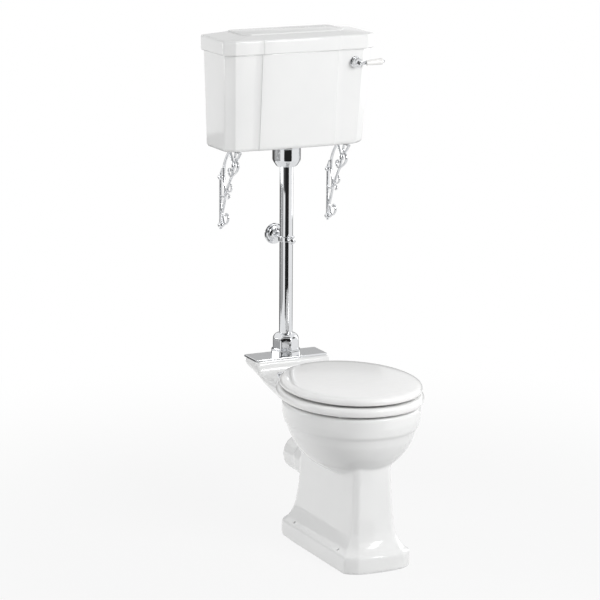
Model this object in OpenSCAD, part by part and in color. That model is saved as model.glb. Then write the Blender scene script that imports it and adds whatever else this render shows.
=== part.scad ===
// Medium level toilet: a floor-standing pan, a wall-hung cistern on two scrolled brackets,
// and a flush pipe between them. The origin is the centre of the pan's foot on the floor.
// The front faces -Y, the wall is a plane at y = wall_y, and sizes are in millimetres.

/* [Layout] */
// Distance from the centre of the pan's foot to the finished wall
wall_y = 465; // [455:1:485]
// Height of the cistern's underside above the floor
cistern_z = 1073; // [1050:1:1150]
// Distance from the wall to the centre line of the flush pipe
pipe_wall = 80; // [76:1:84]

/* [Pan] */
// Height of the pan's rim above the floor
rim_z = 434; // [425:1:440]
// Half width of the rim
rim_w = 181; // [174:1:184]
// How far the rim reaches in front of the origin
rim_front = 241; // [236:1:246]
// How far the rim reaches behind the origin
rim_rear = 184; // [178:1:190]
// Half width of the mouth of the bowl
mouth_w = 131; // [126:1:136]
// Depth of the rim's inner wall above its flushing ledge
rim_wall = 32; // [28:1:36]
// Height of the moulding step under the rim band
band_h = 56; // [50:1:60]
// Half width of the foot
foot_w = 100; // [95:1:105]
// Half length of the foot
foot_l = 222; // [218:1:226]
// Height of the upright part of the foot
foot_h = 44; // [38:1:50]
// Half width of the pedestal column
column_w = 59; // [57:1:62]
// How far the column's front face is in front of the origin
column_front = 173; // [168:1:178]
// Height of the outlet's centre line
outlet_z = 208; // [206:1:211]
// Outer radius of the outlet spigot
outlet_r = 52; // [51:0.5:54]
// Distance from the wall to the end of the outlet spigot
outlet_wall = 172; // [165:1:180]
// Length of the outlet spigot behind its collar
spigot_l = 76; // [60:1:78]
// Radius of the passage through the trap
trap_r = 32; // [30:0.5:34]
// Radius of the floor screw holes
floor_hole_r = 4; // [3:0.25:5]
// Distance between the floor screw holes from side to side
floor_hole_dx = 180; // [176:1:182]
// Distance between the floor screw holes from front to back
floor_hole_dy = 270; // [250:1:290]

/* [Pan shelf] */
// Half width of the rear shelf
shelf_w = 113; // [110:1:118]
// Height of the shelf above the rim
shelf_rise = 33; // [28:1:38]
// Distance from the wall to the back of the shelf
shelf_wall = 48; // [44:1:52]
// Depth of the shelf from back to front
shelf_d = 87; // [84:1:92]
// Radius of the flush inlet in the shelf
inlet_r = 27.5; // [26.5:0.5:29]
// Outer radius of the inlet horn under the shelf
horn_r = 41; // [39:1:44]

/* [Seat] */
// Half width of the seat ring
ring_w = 189; // [184:1:194]
// How far the seat ring reaches in front of the origin
ring_front = 251; // [246:1:256]
// How far the seat ring reaches behind the origin
ring_rear = 210; // [206:1:211]
// Thickness of the seat ring
ring_t = 24; // [20:1:26]
// Half width of the hole in the seat ring
ring_hole_w = 116; // [108:1:122]
// Height of the gap between rim and seat ring
ring_gap = 7; // [6:0.5:9]
// How much smaller the lid is than the ring all round
lid_inset = 5; // [3:0.5:8]
// Thickness of the seat lid
lid_t = 23.5; // [20:0.5:26]
// Height of the gap between ring and lid
lid_gap = 6.5; // [5:0.5:8]

/* [Seat hinge] */
// Half the distance between the two hinge posts
hinge_x = 78; // [74:1:82]
// How far the hinge axis is behind the origin
hinge_y = 228; // [227:1:231]
// Radius of the hinge pins
hinge_pin_r = 4; // [3.5:0.25:5]
// Radius of the hinge posts
hinge_post_r = 8; // [7:0.5:9]
// Radius of the knuckles on the hinge axis
knuckle_r = 8; // [7:0.5:8.5]
// Width of each knuckle along the hinge axis
knuckle_w = 11; // [9:0.5:13]
// Radius of the bolts under the hinge posts
hinge_bolt_r = 4; // [3.5:0.25:4.5]

/* [Flush pipe] */
// Outer radius of the flush pipe
pipe_r = 19; // [18:0.25:19.5]
// Wall of the flush pipe
pipe_t = 1.2; // [0.8:0.1:2]
// How far the pipe goes down into the pan's inlet
pipe_drop = 42; // [36:1:46]
// How far the pipe goes up into the siphon's tail
pipe_rise = 26; // [20:1:30]
// Thickness of the cover plate on the shelf
plate_t = 5; // [4:0.5:7]
// Half width of the cover plate
plate_w = 112; // [105:1:113]
// Depth of the cover plate from back to front
plate_d = 83; // [80:1:86]
// Height of the octagonal flange on the plate
flange_h = 16; // [12:1:20]
// Radius of the octagonal flange to its corners
flange_r = 44; // [41:0.5:47]
// Height of the domed nut
nut_h = 46; // [40:1:52]
// Radius of the domed nut to its corners
nut_r = 39.5; // [37:0.5:41]

/* [Bell cup] */
// Outer radius of the bell cup
bell_r = 40; // [39:0.5:44]
// Height of the bell cup
bell_h = 59; // [57:1:64]
// Wall of the bell cup
bell_t = 1.5; // [1:0.1:2]

/* [Pipe clip] */
// Height of the pipe clip above the floor
clip_z = 807; // [700:1:900]
// Radius of the clip's wall rosette
rosette_r = 30; // [24:0.5:34]
// Radius of the clip's stem
clip_stem_r = 8; // [6:0.5:9]
// Height of the clip's band
clip_band_h = 14; // [10:1:18]
// Thickness of the clip's band
clip_band_t = 4; // [3:0.5:5]
// Radius of the ball knob on the clip
clip_ball_r = 11; // [9:0.5:12]

/* [Cistern] */
// Half width of the cistern's body at its top edge
cistern_w = 222; // [218:1:228]
// Height of the cistern's body
cistern_h = 273; // [268:1:285]
// Depth of the side panels at the top edge
cistern_d = 165; // [162:1:171]
// How much narrower each side is at the bottom
side_draft = 9; // [5:1:13]
// How much less deep the body is at the bottom
front_draft = 22; // [17:1:26]
// How far the middle panel stands proud of the side panels
panel_rise = 5; // [4:0.5:9]
// Half width of the middle panel
panel_w = 115; // [107:1:118]
// Width of the cove beside the middle panel
cove_w = 23; // [17:1:26]
// Width of the bevel on the cistern's front corners, seen from the front
corner_c = 26; // [20:1:30]
// Depth of that bevel from front to back
corner_d = 17; // [13:1:24]
// Wall of the cistern
cistern_t = 12; // [10:0.5:14]
// Rounding of the cistern's bottom edges
bottom_r = 12; // [8:1:16]
// Half the distance between the wall screw holes
wall_hole_x = 130; // [120:1:140]
// Height of the wall screw holes above the cistern's underside
wall_hole_z = 225; // [215:1:235]
// Radius of the wall screw holes
wall_hole_r = 4; // [3:0.25:5]

/* [Cistern lid] */
// How far the lid hangs over the body's sides
lid_over = 10; // [8:0.5:12]
// How far the lid hangs over the body's front
lid_front = 13; // [11:0.5:15]
// Height of the lid's upright edge
lid_edge_h = 40; // [34:1:44]
// Height of the sloping top above the edge
lid_hip_h = 12; // [9:0.5:15]
// Half width of the lid's raised flat top
top_w = 157; // [145:1:165]
// Depth of the lid's raised flat top
top_d = 115; // [105:1:122]
// Height of the step round the raised flat top
top_step = 2.5; // [1.5:0.25:4]
// Wall of the lid
lid_wall = 21; // [20:0.5:22.5]

/* [Brackets] */
// Half the distance between the two brackets
bracket_x = 168; // [160:1:176]
// Height of a bracket
bracket_h = 240; // [230:1:250]
// How far a bracket reaches from the wall
bracket_d = 138; // [130:1:142]
// Thickness of a bracket from side to side
bracket_t = 9; // [7:0.5:12]
// Width of a bracket's main bars
bar_w = 5.5; // [4.5:0.25:6.5]
// Radius of the round heads of the bracket screws
screw_head_r = 8; // [7:0.5:9]
// Radius of the shanks of the bracket screws
screw_r = 2.5; // [2:0.25:3]

/* [Lever] */
// Distance of the lever's spindle from the centre line
lever_x = 170; // [167:1:173]
// Distance of the lever's spindle below the cistern's top edge
lever_down = 36; // [34:1:40]
// Radius of the lever's rose
rose_r = 15.5; // [13:0.5:18]
// Radius of the lever's spindle
spindle_r = 5; // [4:0.25:6]
// Length of the ceramic grip
grip_l = 50; // [44:1:56]
// Radius of the ceramic grip at its outer end
grip_r = 9.2; // [8:0.1:10]
// Distance from the spindle to the start of the grip
grip_start = 21; // [19:1:26]
// Distance of the grip's centre line from the cistern's face
grip_out = 28; // [26:1:32]
// Angle by which the grip points above level at rest
grip_tilt = 2; // [0:0.5:6]
// Angle through which the lever turns
lever_turn = 30; // [20:1:32]

/* [Siphon] */
// Distance of the siphon's chamber from the pipe's centre line
chamber_x = 62; // [60:1:66]
// Inner radius of the siphon's chamber
chamber_r = 34; // [32:0.5:36]
// Height of the siphon's chamber
chamber_h = 74; // [70:1:80]
// Outer radius of the siphon's legs
leg_r = 22; // [21:0.5:22.5]
// Height of the siphon's crown above the cistern's floor
crown_h = 166; // [160:1:170]
// Wall of the siphon
siphon_t = 3; // [2:0.25:4]
// Outer radius of the siphon's threaded tail
tail_r = 23.5; // [22.5:0.25:24]
// How far the tail goes below the cistern
tail_l = 42; // [38:1:44]
// Radius of the siphon's lift rod
rod_r = 3; // [2.5:0.25:3.5]
// Distance of the lift rod from the pipe's centre line
rod_x = 76; // [74:1:79]

/* [Fill valve] */
// Height of the fill valve's tail above the cistern's underside
inlet_up = 215; // [205:1:222]
// Distance of the fill valve from the wall
inlet_wall = 36; // [34:1:38]
// Radius of the fill valve's threaded tail
inlet_tail_r = 10.5; // [9:0.25:11]
// How far the fill valve's tail stands out of the cistern's side
inlet_out = 26; // [22:1:30]
// Length of the fill valve's body inside the cistern
valve_l = 44; // [40:1:48]
// Length of the float's arm
float_arm_l = 96; // [88:1:100]
// Radius of the float
float_r = 19; // [16:0.5:19]
// Height of the float
float_h = 46; // [40:1:52]

/* [Hidden] */
$fn = 48;

// Clearances: a turning fit, pieces that are screwed together, and faces that stay apart
run_gap = 0.05;
fit_gap = 0.02;
seat_gap = 0.3;
// Cutters reach this far past a face
past = 1;

// Points round an oval, round a corner and across a loft
oval_n = 64;
arc_n = 4;

// Levels and lines that several pieces share
centre_y = -21;
shelf_z = rim_z + shelf_rise;
plate_z = shelf_z + plate_t;
pipe_y = wall_y - pipe_wall;
ring_z = rim_z + ring_gap;
seat_lid_z = ring_z + ring_t + lid_gap;
hinge_z = rim_z + 21;
floor_z = cistern_z + cistern_t;
top_z = cistern_z + cistern_h;
duct_z = rim_z - 40;
outlet_y = wall_y - outlet_wall;

function lerp(a, b, t) = a + (b - a) * t;
function spow(v, p) = sign(v) * pow(abs(v), p);
function smooth(t) = t * t * (3 - 2 * t);

// An oval whose front and rear halves have their own reach and squareness, where 2 is an ellipse
seat_e = [2.1, 2.2];
lid_e = [2.1, 2];
bowl_e = [2.1, 2];
hollow_e = [2.2, 2.2];
function oval(w, front, rear, e_pair) = [for (i = [0:oval_n - 1])
    let (t = 360 * i / oval_n, back = sin(t) >= 0, e = e_pair[back ? 1 : 0],
        b = back ? rear - centre_y : front + centre_y)
    [w * spow(cos(t), 2 / e), centre_y + b * spow(sin(t), 2 / e)]];

function lift(points, z) = [for (p = points) [p[0], p[1], z]];
function arc(cx, cy, r, from, to, n = arc_n) =
    [for (i = [0:n]) let (a = lerp(from, to, i / n)) [cx + r * cos(a), cy + r * sin(a)]];

// A rectangle with one radius at all its corners, counterclockwise
function round_rect(x0, x1, y0, y1, r) = concat(arc(x0 + r, y0 + r, r, 180, 270),
    arc(x1 - r, y0 + r, r, 270, 360), arc(x1 - r, y1 - r, r, 0, 90), arc(x0 + r, y1 - r, r, 90, 180));

// A closed skin over rings of equal count, with flat ends
module loft(rings) {
    n = len(rings[0]);
    m = len(rings);
    sides = [for (j = [0:m - 2]) for (i = [0:n - 1])
        let (k = (i + 1) % n, a = j * n + i, b = (j + 1) * n + i, c = (j + 1) * n + k, d = j * n + k)
        each [[a, b, c], [a, c, d]]];
    polyhedron([for (r = rings) each r],
        concat(sides, [[for (i = [0:n - 1]) i]], [[for (i = [n - 1:-1:0]) (m - 1) * n + i]]));
}

// A skin over sections that follow a closed path
module closed_sweep(sections) {
    n = len(sections[0]);
    m = len(sections);
    polyhedron([for (s = sections) each s], [for (j = [0:m - 1]) for (i = [0:n - 1])
        let (q = (j + 1) % m, k = (i + 1) % n, a = j * n + i, b = q * n + i, c = q * n + k, d = j * n + k)
        each [[a, c, b], [a, d, c]]]);
}

module tube(r_out, r_in, h) {
    difference() {
        cylinder(r = r_out, h = h);
        translate([0, 0, -past]) cylinder(r = r_in, h = h + 2 * past);
    }
}

module along_x() rotate([0, 90, 0]) children();
module along_y() rotate([-90, 0, 0]) children();

// A round passage from a to b, with a slightly fuller joint at b
joint_over = 0.4;
module passage(a, b, r) {
    d = b - a;
    l = norm(d);
    translate(a) rotate([0, acos(d[2] / l), atan2(d[1], d[0])]) cylinder(r = r, h = l);
    translate(b) sphere(r = r + joint_over);
}

// Pan

// Height under the rim and the share of the rim's size at the sides, front and rear
bowl_shape = [[0, 0.985, 0.985, 0.985], [3, 1, 1, 1], [29, 1, 1, 1], [50, 0.985, 0.985, 0.98],
    [band_h, 0.975, 0.977, 0.965], [band_h + 3, 0.96, 0.963, 0.95], [88, 0.9, 0.915, 0.885],
    [122, 0.805, 0.83, 0.77], [142, 0.72, 0.755, 0.69], [158, 0.63, 0.68, 0.6],
    [172, 0.52, 0.58, 0.5], [183, 0.42, 0.5, 0.4], [196, 0.26, 0.38, 0.25]];
module bowl_outer() loft([for (i = [len(bowl_shape) - 1:-1:0]) let (s = bowl_shape[i])
    lift(oval(rim_w * s[1], (rim_front + centre_y) * s[2] - centre_y,
        (rim_rear - centre_y) * s[3] + centre_y, bowl_e), rim_z - s[0])]);

// Height under the rim, half width, reach in front and reach behind of the bowl's hollow
hollow_shape = [[-past, mouth_w, 196, 122], [rim_wall, mouth_w - 3, 192, 118],
    [rim_wall + 4, mouth_w + 13, 211, 134], [76, mouth_w + 8, 203, 130], [114, 126, 180, 116],
    [148, 100, 146, 98], [178, 70, 100, 78], [204, 40, 58, 22]];
module bowl_hollow() loft([for (i = [len(hollow_shape) - 1:-1:0]) let (s = hollow_shape[i])
    lift(oval(s[1], s[2], s[3], hollow_e), rim_z - s[0])]);

// The trap goes down from the bowl, up over its weir and back down to the outlet
trap_points = [[0, -20, 232], [0, -16, 162], [0, 30, 128], [0, 76, 162], [0, 120, 248],
    [0, 178, outlet_z + 6], [0, 200, outlet_z], [0, 260, outlet_z]];
module trap_passage() {
    translate(trap_points[0]) sphere(r = trap_r + joint_over);
    for (i = [1:len(trap_points) - 1]) passage(trap_points[i - 1], trap_points[i], trap_r);
}

// A section with bevelled front corners, round rear corners and a slightly bowed front
bevel_swell = 0.8;
function column_ring(w, front, rear, c, r, bow) = concat(
    [for (t = [0:arc_n]) let (s = t / arc_n, o = bevel_swell * sin(180 * s))
        [-w + c * s - o, -front + c * (1 - s) + bow * s - o]],
    [for (t = [1:5]) let (x = lerp(-w + c, w - c, t / 6)) [x, -front + bow * pow(x / (w - c), 2)]],
    [for (t = [0:arc_n]) let (s = t / arc_n, o = bevel_swell * sin(180 * s))
        [w - c + c * s + o, -front + c * s + bow * (1 - s) - o]],
    arc(w - r, rear - r, r, 0, 90), arc(-w + r, rear - r, r, 90, 180));

// Height, share of the way from column to foot, and the rear face's own reach
column_shape = [[foot_h + 3, 0.93, 219], [foot_h + 8, 0.76, 214], [foot_h + 15, 0.61, 209],
    [foot_h + 24, 0.47, 205], [foot_h + 37, 0.33, 201], [foot_h + 56, 0.2, 196],
    [150, 0.07, 187], [215, -0.01, 181], [262, -0.05, 177], [298, -0.2, 146]];
module column() loft(concat(
    [for (z = [0, foot_h]) lift(column_ring(foot_w, foot_l, foot_l, 31, 30, 7), z)],
    [for (s = column_shape) lift(column_ring(lerp(column_w, foot_w, s[1]),
        lerp(column_front, foot_l, s[1]), s[2], lerp(13, 31, s[1]), lerp(20, 30, s[1]),
        lerp(2, 7, s[1])), s[0])]));

// Distance from the wall, half width, top, underside at the sides and depth of the belly of the
// arm that carries the shelf
arm_shape = [[shelf_wall, shelf_w - 4, shelf_z - 1, shelf_z - 14, 1],
    [shelf_wall + 3, shelf_w - 1, shelf_z, shelf_z - 17, 2],
    [shelf_wall + 12, shelf_w, shelf_z, shelf_z - 21, 4],
    [shelf_wall + 42, shelf_w, shelf_z, shelf_z - 26, 18],
    [shelf_wall + shelf_d - 3, shelf_w, shelf_z, rim_z - 1, 44],
    [shelf_wall + shelf_d, shelf_w, shelf_z - 3, rim_z - 2, 46],
    [shelf_wall + shelf_d + 1, shelf_w, rim_z + 16, rim_z - 2.3, 47],
    [shelf_wall + shelf_d + 6, shelf_w, rim_z + 7, rim_z - 3.5, 49],
    [shelf_wall + shelf_d + 15, shelf_w, rim_z + 2, rim_z - 6, 52],
    [shelf_wall + shelf_d + 30, shelf_w, rim_z, rim_z - 10, 54],
    [235, shelf_w + 1, rim_z, rim_z - 24, 50], [270, shelf_w + 2, rim_z, rim_z - 30, 46],
    [300, shelf_w + 3, rim_z, rim_z - 34, 42], [325, shelf_w + 5, rim_z, rim_z - 38, 38],
    [350, shelf_w + 10, rim_z, rim_z - 42, 34]];
arm_edge_r = 5;
function arm_ring(w, top, under, belly) = concat(
    [for (t = [-0.9:0.2:0.9]) [w * t, under - belly * (1 - pow(abs(t), 2.5))]],
    [[w - 1, under + 1], [w, under + 3]], arc(w - arm_edge_r, top - arm_edge_r, arm_edge_r, 0, 90),
    arc(-w + arm_edge_r, top - arm_edge_r, arm_edge_r, 90, 180), [[-w, under + 3], [-w + 1, under + 1]]);
module shelf_arm() loft([for (s = arm_shape)
    [for (p = arm_ring(s[1], s[2], s[3], s[4])) [p[0], wall_y - s[0], p[1]]]]);

module floor_holes() for (x = [-1, 1], y = [-1, 1])
    translate([x * floor_hole_dx / 2, y * floor_hole_dy / 2, -past])
        cylinder(r = floor_hole_r, h = foot_h + 60);

// The seat's nuts sit in pockets under the shelf, which end at this height
pocket_z = rim_z - 34;
pocket_r = 18;
pocket_h = 60;
// The outlet's root is a little thicker than the spigot, so that a connector stops against it
collar_t = 4;
outlet_bore_r = outlet_r - 9;
collar_y = outlet_y - spigot_l;
foot_wall = 32;
foot_hollow_h = 68;
module pan_casting() difference() {
    union() {
        bowl_outer();
        column();
        shelf_arm();
        translate([0, pipe_y, duct_z - 30]) cylinder(r = horn_r, h = shelf_z - duct_z + 29);
        translate([0, rim_rear - 60, duct_z]) along_y() cylinder(r = 36, h = pipe_y - rim_rear + 60);
        translate([0, 90, outlet_z]) along_y() cylinder(r = outlet_r + collar_t, h = collar_y - 90);
        translate([0, 122, 244]) sphere(r = trap_r + 13);
    }
    bowl_hollow();
    trap_passage();
    translate([0, collar_y - 6, outlet_z]) along_y() cylinder(r = outlet_bore_r, h = spigot_l);
    translate([0, pipe_y, duct_z - 18]) cylinder(r = inlet_r, h = shelf_z);
    translate([0, 100, duct_z]) along_y() cylinder(r = inlet_r - 4, h = pipe_y - 100);
    for (s = [-1, 1]) translate([s * hinge_x, hinge_y, pocket_z - pocket_h]) {
        cylinder(r = hinge_bolt_r + 2, h = rim_z);
        cylinder(r = pocket_r, h = pocket_h);
    }
    floor_holes();
    loft([for (z = [-past, foot_hollow_h]) lift(round_rect(-foot_w + foot_wall, foot_w - foot_wall,
        -foot_l + foot_wall, foot_l - foot_wall - 8, 20), z)]);
}

// The casting is one piece. It is written as four solids that meet face to face, so that its
// bowl and its outlet stay open to what falls into them
split_z = outlet_z + outlet_r + collar_t + 2.5;
split_y = rim_rear + 6;
module pan_part(y0, y1, z0, z1) color("white") intersection() {
    pan_casting();
    translate([-2 * foot_l, y0, z0]) cube([4 * foot_l, y1 - y0, z1 - z0]);
}
module pan_bowl() pan_part(-2 * rim_front, split_y, split_z, 2 * rim_z);
module pan_shelf() pan_part(split_y, 2 * wall_y, split_z, 2 * rim_z);
module pan_pedestal() pan_part(-2 * rim_front, 2 * wall_y, -past, split_z);
module pan_outlet() color("white") translate([0, collar_y, outlet_z]) along_y()
    tube(outlet_r, outlet_bore_r, spigot_l);

// Seat

// Inset from the edge and height, as shares of a round-edged section
edge_profile = [[7, 0], [2.5, 0.1], [0, 0.36], [0, 0.6], [2, 0.83], [6, 0.96], [12, 1]];
hole_slope = 0.12;
hole_front = 196;
hole_rear = 92;
module seat_ring() color("white") {
    outer = oval(ring_w, ring_front, ring_rear, seat_e);
    inner = oval(ring_hole_w, hole_front, hole_rear, hollow_e);
    closed_sweep([for (i = [0:oval_n - 1])
        let (o = outer[i], q = inner[i], l = norm(q - o), u = (q - o) / l) concat(
            [for (e = edge_profile) let (p = o + u * e[0]) [p[0], p[1], ring_z + ring_t * e[1]]],
            [for (j = [len(edge_profile) - 1:-1:0]) let (e = edge_profile[j], p = q - u * e[0])
                [p[0], p[1], ring_z + ring_t * e[1] * (e[1] > 0.5 ? 1 - hole_slope : 1)]])]);
}

// Rounded pads, given by their places on the oval as angles
module pads(places, w, front, rear, z, h) for (a = places)
    let (e = seat_e[a > 180 ? 0 : 1], b = a > 180 ? front + centre_y : rear - centre_y)
    translate([w * spow(cos(a), 2 / e), centre_y + b * spow(sin(a), 2 / e), z])
        rotate([0, 0, atan2(b * sin(a), w * cos(a))]) translate([-6, -13, 0]) cube([12, 26, h]);

module ring_bumpers() color("gainsboro")
    pads([35, 145, 232, 308], ring_w - 26, ring_front - 26, ring_rear - 40, rim_z + seat_gap,
        ring_gap - seat_gap);
module lid_bumpers() color("gainsboro")
    pads([48, 132, 246, 294], ring_w - 36, ring_front - 34, ring_rear - 46, seat_lid_z - lid_gap + seat_gap,
        lid_gap - seat_gap);

// Inset from the edge and height as a share of the lid's thickness
lid_shape = [[7, 0], [2, 0.08], [0, 0.3], [0.6, 0.5], [3, 0.7], [8, 0.83], [16, 0.89], [40, 0.94],
    [90, 0.985], [150, 1]];
module seat_lid() color("white") loft([for (s = lid_shape)
    lift(oval(ring_w - lid_inset - s[0], ring_front - lid_inset - s[0], ring_rear - lid_inset - s[0],
        lid_e), seat_lid_z + lid_t * s[1])]);

// A leaf screwed flat under a seat piece, with a knuckle on the hinge axis
leaf_t = 2.5;
leaf_back = 8;
module hinge_leaf(x, z_flat) difference() {
    union() {
        translate([x, hinge_y - 62, z_flat - leaf_t]) cube([knuckle_w, 62 - leaf_back, leaf_t]);
        translate([x, hinge_y - leaf_back - 5, min(z_flat - leaf_t, hinge_z - 4)])
            cube([knuckle_w, 5, abs(z_flat - leaf_t - hinge_z) + 4]);
        translate([x, hinge_y - leaf_back - 2, hinge_z - 4]) cube([knuckle_w, leaf_back + 2, 8]);
        translate([x, hinge_y, hinge_z]) along_x() cylinder(r = knuckle_r, h = knuckle_w);
    }
    translate([x - past, hinge_y, hinge_z]) along_x()
        cylinder(r = hinge_pin_r + run_gap, h = knuckle_w + 2 * past);
}
side_gap = 0.6;
module ring_hinge_leaves() color("silver") {
    hinge_leaf(hinge_x + hinge_post_r + side_gap, ring_z);
    hinge_leaf(-hinge_x - hinge_post_r - side_gap - knuckle_w, ring_z);
}
module lid_hinge_leaves() color("silver") {
    hinge_leaf(hinge_x - hinge_post_r - side_gap - knuckle_w, seat_lid_z);
    hinge_leaf(-hinge_x + hinge_post_r + side_gap, seat_lid_z);
}

post_flange_h = 4;
post_flange_w = 6;
// How far the bolt goes up into its post
bolt_up = 9;
module hinge_posts() color("silver") for (s = [-1, 1]) translate([s * hinge_x, hinge_y, 0]) difference() {
    union() {
        translate([0, 0, rim_z]) cylinder(r = hinge_post_r + post_flange_w, h = post_flange_h);
        translate([0, 0, rim_z]) cylinder(r = hinge_post_r, h = hinge_z - rim_z);
        translate([0, 0, hinge_z]) sphere(r = hinge_post_r);
    }
    translate([-2 * hinge_post_r, 0, hinge_z]) along_x()
        cylinder(r = hinge_pin_r + fit_gap, h = 4 * hinge_post_r);
    translate([0, 0, rim_z - past]) cylinder(r = hinge_bolt_r + fit_gap, h = bolt_up + past);
}
hinge_pin_l = 2 * (hinge_post_r + side_gap + knuckle_w) + 5;
module hinge_pins() color("silver") for (s = [-1, 1])
    translate([s * hinge_x - hinge_pin_l / 2, hinge_y, hinge_z]) along_x()
        cylinder(r = hinge_pin_r, h = hinge_pin_l);
washer_t = 3;
hinge_washer_r = 14;
hinge_nut_r = 10;
hinge_nut_h = 12;
nut_wing_w = 30;
nut_wing_t = 5;
nut_wing_h = 9;
bolt_end = 6;
module hinge_bolts() color("silver") for (s = [-1, 1])
    translate([s * hinge_x, hinge_y, pocket_z - washer_t - hinge_nut_h - bolt_end])
        cylinder(r = hinge_bolt_r, h = rim_z + bolt_up - pocket_z + washer_t + hinge_nut_h + bolt_end);
module hinge_washers() color("dimgray") for (s = [-1, 1])
    translate([s * hinge_x, hinge_y, pocket_z - washer_t])
        tube(hinge_washer_r, hinge_bolt_r + fit_gap, washer_t);
module hinge_nuts() color("white") for (s = [-1, 1])
    translate([s * hinge_x, hinge_y, pocket_z - washer_t - hinge_nut_h]) difference() {
        union() {
            cylinder(r = hinge_nut_r, h = hinge_nut_h);
            translate([-nut_wing_t / 2, -nut_wing_w / 2, 0]) cube([nut_wing_t, nut_wing_w, nut_wing_h]);
        }
        translate([0, 0, -past]) cylinder(r = hinge_bolt_r + fit_gap, h = hinge_nut_h + 2 * past);
    }

// Flush pipe and its fittings

module cover_plate() color("silver") difference() {
    translate([0, pipe_y, shelf_z]) linear_extrude(height = plate_t)
        polygon(round_rect(-plate_w, plate_w, -plate_d / 2, plate_d / 2, 4));
    translate([0, pipe_y, shelf_z - past]) cylinder(r = inlet_r - 3, h = plate_t + 2 * past);
}
seal_lip = 3;
module inlet_seal() color("dimgray") translate([0, pipe_y, shelf_z - pipe_drop + 4]) difference() {
    union() {
        cylinder(r = inlet_r - fit_gap, h = pipe_drop - 4 - fit_gap);
        translate([0, 0, -seal_lip]) cylinder(r = inlet_r - 3, h = seal_lip);
    }
    translate([0, 0, -seal_lip - past]) cylinder(r = pipe_r + fit_gap, h = pipe_drop + 2 * past);
}
octagon_turn = -26 + 22.5;
module octagon(r, h) rotate([0, 0, octagon_turn]) cylinder(r = r, h = h, $fn = 8);
module pan_flange() color("silver") translate([0, pipe_y, plate_z]) difference() {
    union() {
        octagon(flange_r, flange_h);
        translate([0, 0, -plate_t]) cylinder(r = inlet_r - 3 - fit_gap, h = plate_t);
    }
    translate([0, 0, -plate_t - past]) cylinder(r = pipe_r + fit_gap, h = plate_t + flange_h + 2 * past);
}
dome_h = 17;
module pan_nut() color("silver") translate([0, pipe_y, plate_z + flange_h]) difference() {
    union() {
        intersection() {
            octagon(nut_r, nut_h - dome_h + 4);
            cylinder(r = nut_r - 1, h = nut_h);
        }
        rotate_extrude() polygon(concat([[0, 0], [nut_r * cos(22.5), 0]],
            arc(nut_r * cos(22.5) - dome_h, nut_h - dome_h, dome_h, 0, 80, 8), [[0, nut_h]]));
    }
    translate([0, 0, -past]) cylinder(r = pipe_r + fit_gap, h = nut_h + 2 * past);
}
module flush_pipe() color("silver") translate([0, pipe_y, shelf_z - pipe_drop])
    tube(pipe_r, pipe_r - pipe_t, cistern_z - tail_l + pipe_rise - shelf_z + pipe_drop);

// Bell cup, and the nuts that it hides

bell_flange = 3;
module bell_cup() color("silver") translate([0, pipe_y, cistern_z - bell_h]) rotate_extrude()
    polygon(concat([[pipe_r + fit_gap, 0]], arc(bell_r - 22, 22, 22, -80, 0, 8),
        [[bell_r, bell_h - 6], [bell_r + bell_flange, bell_h - 5], [bell_r + bell_flange, bell_h],
            [bell_r - bell_t, bell_h], [bell_r - bell_t, 22]],
        arc(bell_r - 22, 22, 22 - bell_t, -6, -80, 8), [[pipe_r + fit_gap, bell_t]]));
hex_nut_h = 10;
module hex_ring(r, r_in, h) difference() {
    cylinder(r = r, h = h, $fn = 6);
    translate([0, 0, -past]) cylinder(r = r_in, h = h + 2 * past);
}
tail_washer_t = 3;
module tail_washer() color("dimgray") translate([0, pipe_y, cistern_z - tail_washer_t])
    tube(bell_r - bell_t - 3, tail_r + fit_gap, tail_washer_t);
module tail_nut() color("silver") translate([0, pipe_y, cistern_z - tail_washer_t - hex_nut_h])
    hex_ring(bell_r - bell_t - 2, tail_r + fit_gap, hex_nut_h);
// The pipe nut grips the pipe under the tail and is screwed over the tail's end
pipe_nut_h = 24;
pipe_nut_lip = 6;
module pipe_nut() color("silver")
    translate([0, pipe_y, cistern_z - tail_l - pipe_nut_lip]) difference() {
        cylinder(r = tail_r + 6, h = pipe_nut_h, $fn = 6);
        translate([0, 0, -past]) cylinder(r = pipe_r + fit_gap, h = pipe_nut_h + 2 * past);
        translate([0, 0, pipe_nut_lip]) cylinder(r = tail_r + fit_gap, h = pipe_nut_h);
    }

// Pipe clip

clip_band_r = pipe_r + clip_band_t;
module clip_rosette() color("silver") translate([0, wall_y, clip_z]) rotate([90, 0, 0]) {
    rotate_extrude() polygon(concat([[0, 0], [rosette_r, 0], [rosette_r, 2.5]],
        [[rosette_r - 3, 4], [rosette_r - 6, 4.5], [rosette_r - 12, 8], [clip_stem_r + 3, 11],
            [clip_stem_r, 15], [clip_stem_r, pipe_wall - clip_band_r - 3], [clip_stem_r - 2,
            pipe_wall - clip_band_r - 3], [clip_stem_r - 2, pipe_wall - clip_band_r - seat_gap / 3],
            [0, pipe_wall - clip_band_r - seat_gap / 3]]));
}
clip_lug = 3;
clip_screw_r = 2.5;
module clip_band() color("silver") translate([0, pipe_y, clip_z - clip_band_h / 2]) difference() {
    union() {
        cylinder(r = clip_band_r, h = clip_band_h);
        translate([0, -clip_band_r - clip_lug, clip_band_h / 2]) along_y()
            cylinder(r = 6, h = clip_lug + clip_band_t);
    }
    translate([0, 0, -past]) cylinder(r = pipe_r + fit_gap, h = clip_band_h + 2 * past);
    translate([0, -clip_band_r - clip_lug - past, clip_band_h / 2]) along_y()
        cylinder(r = clip_screw_r + fit_gap, h = clip_lug + clip_band_t + past);
}
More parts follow.
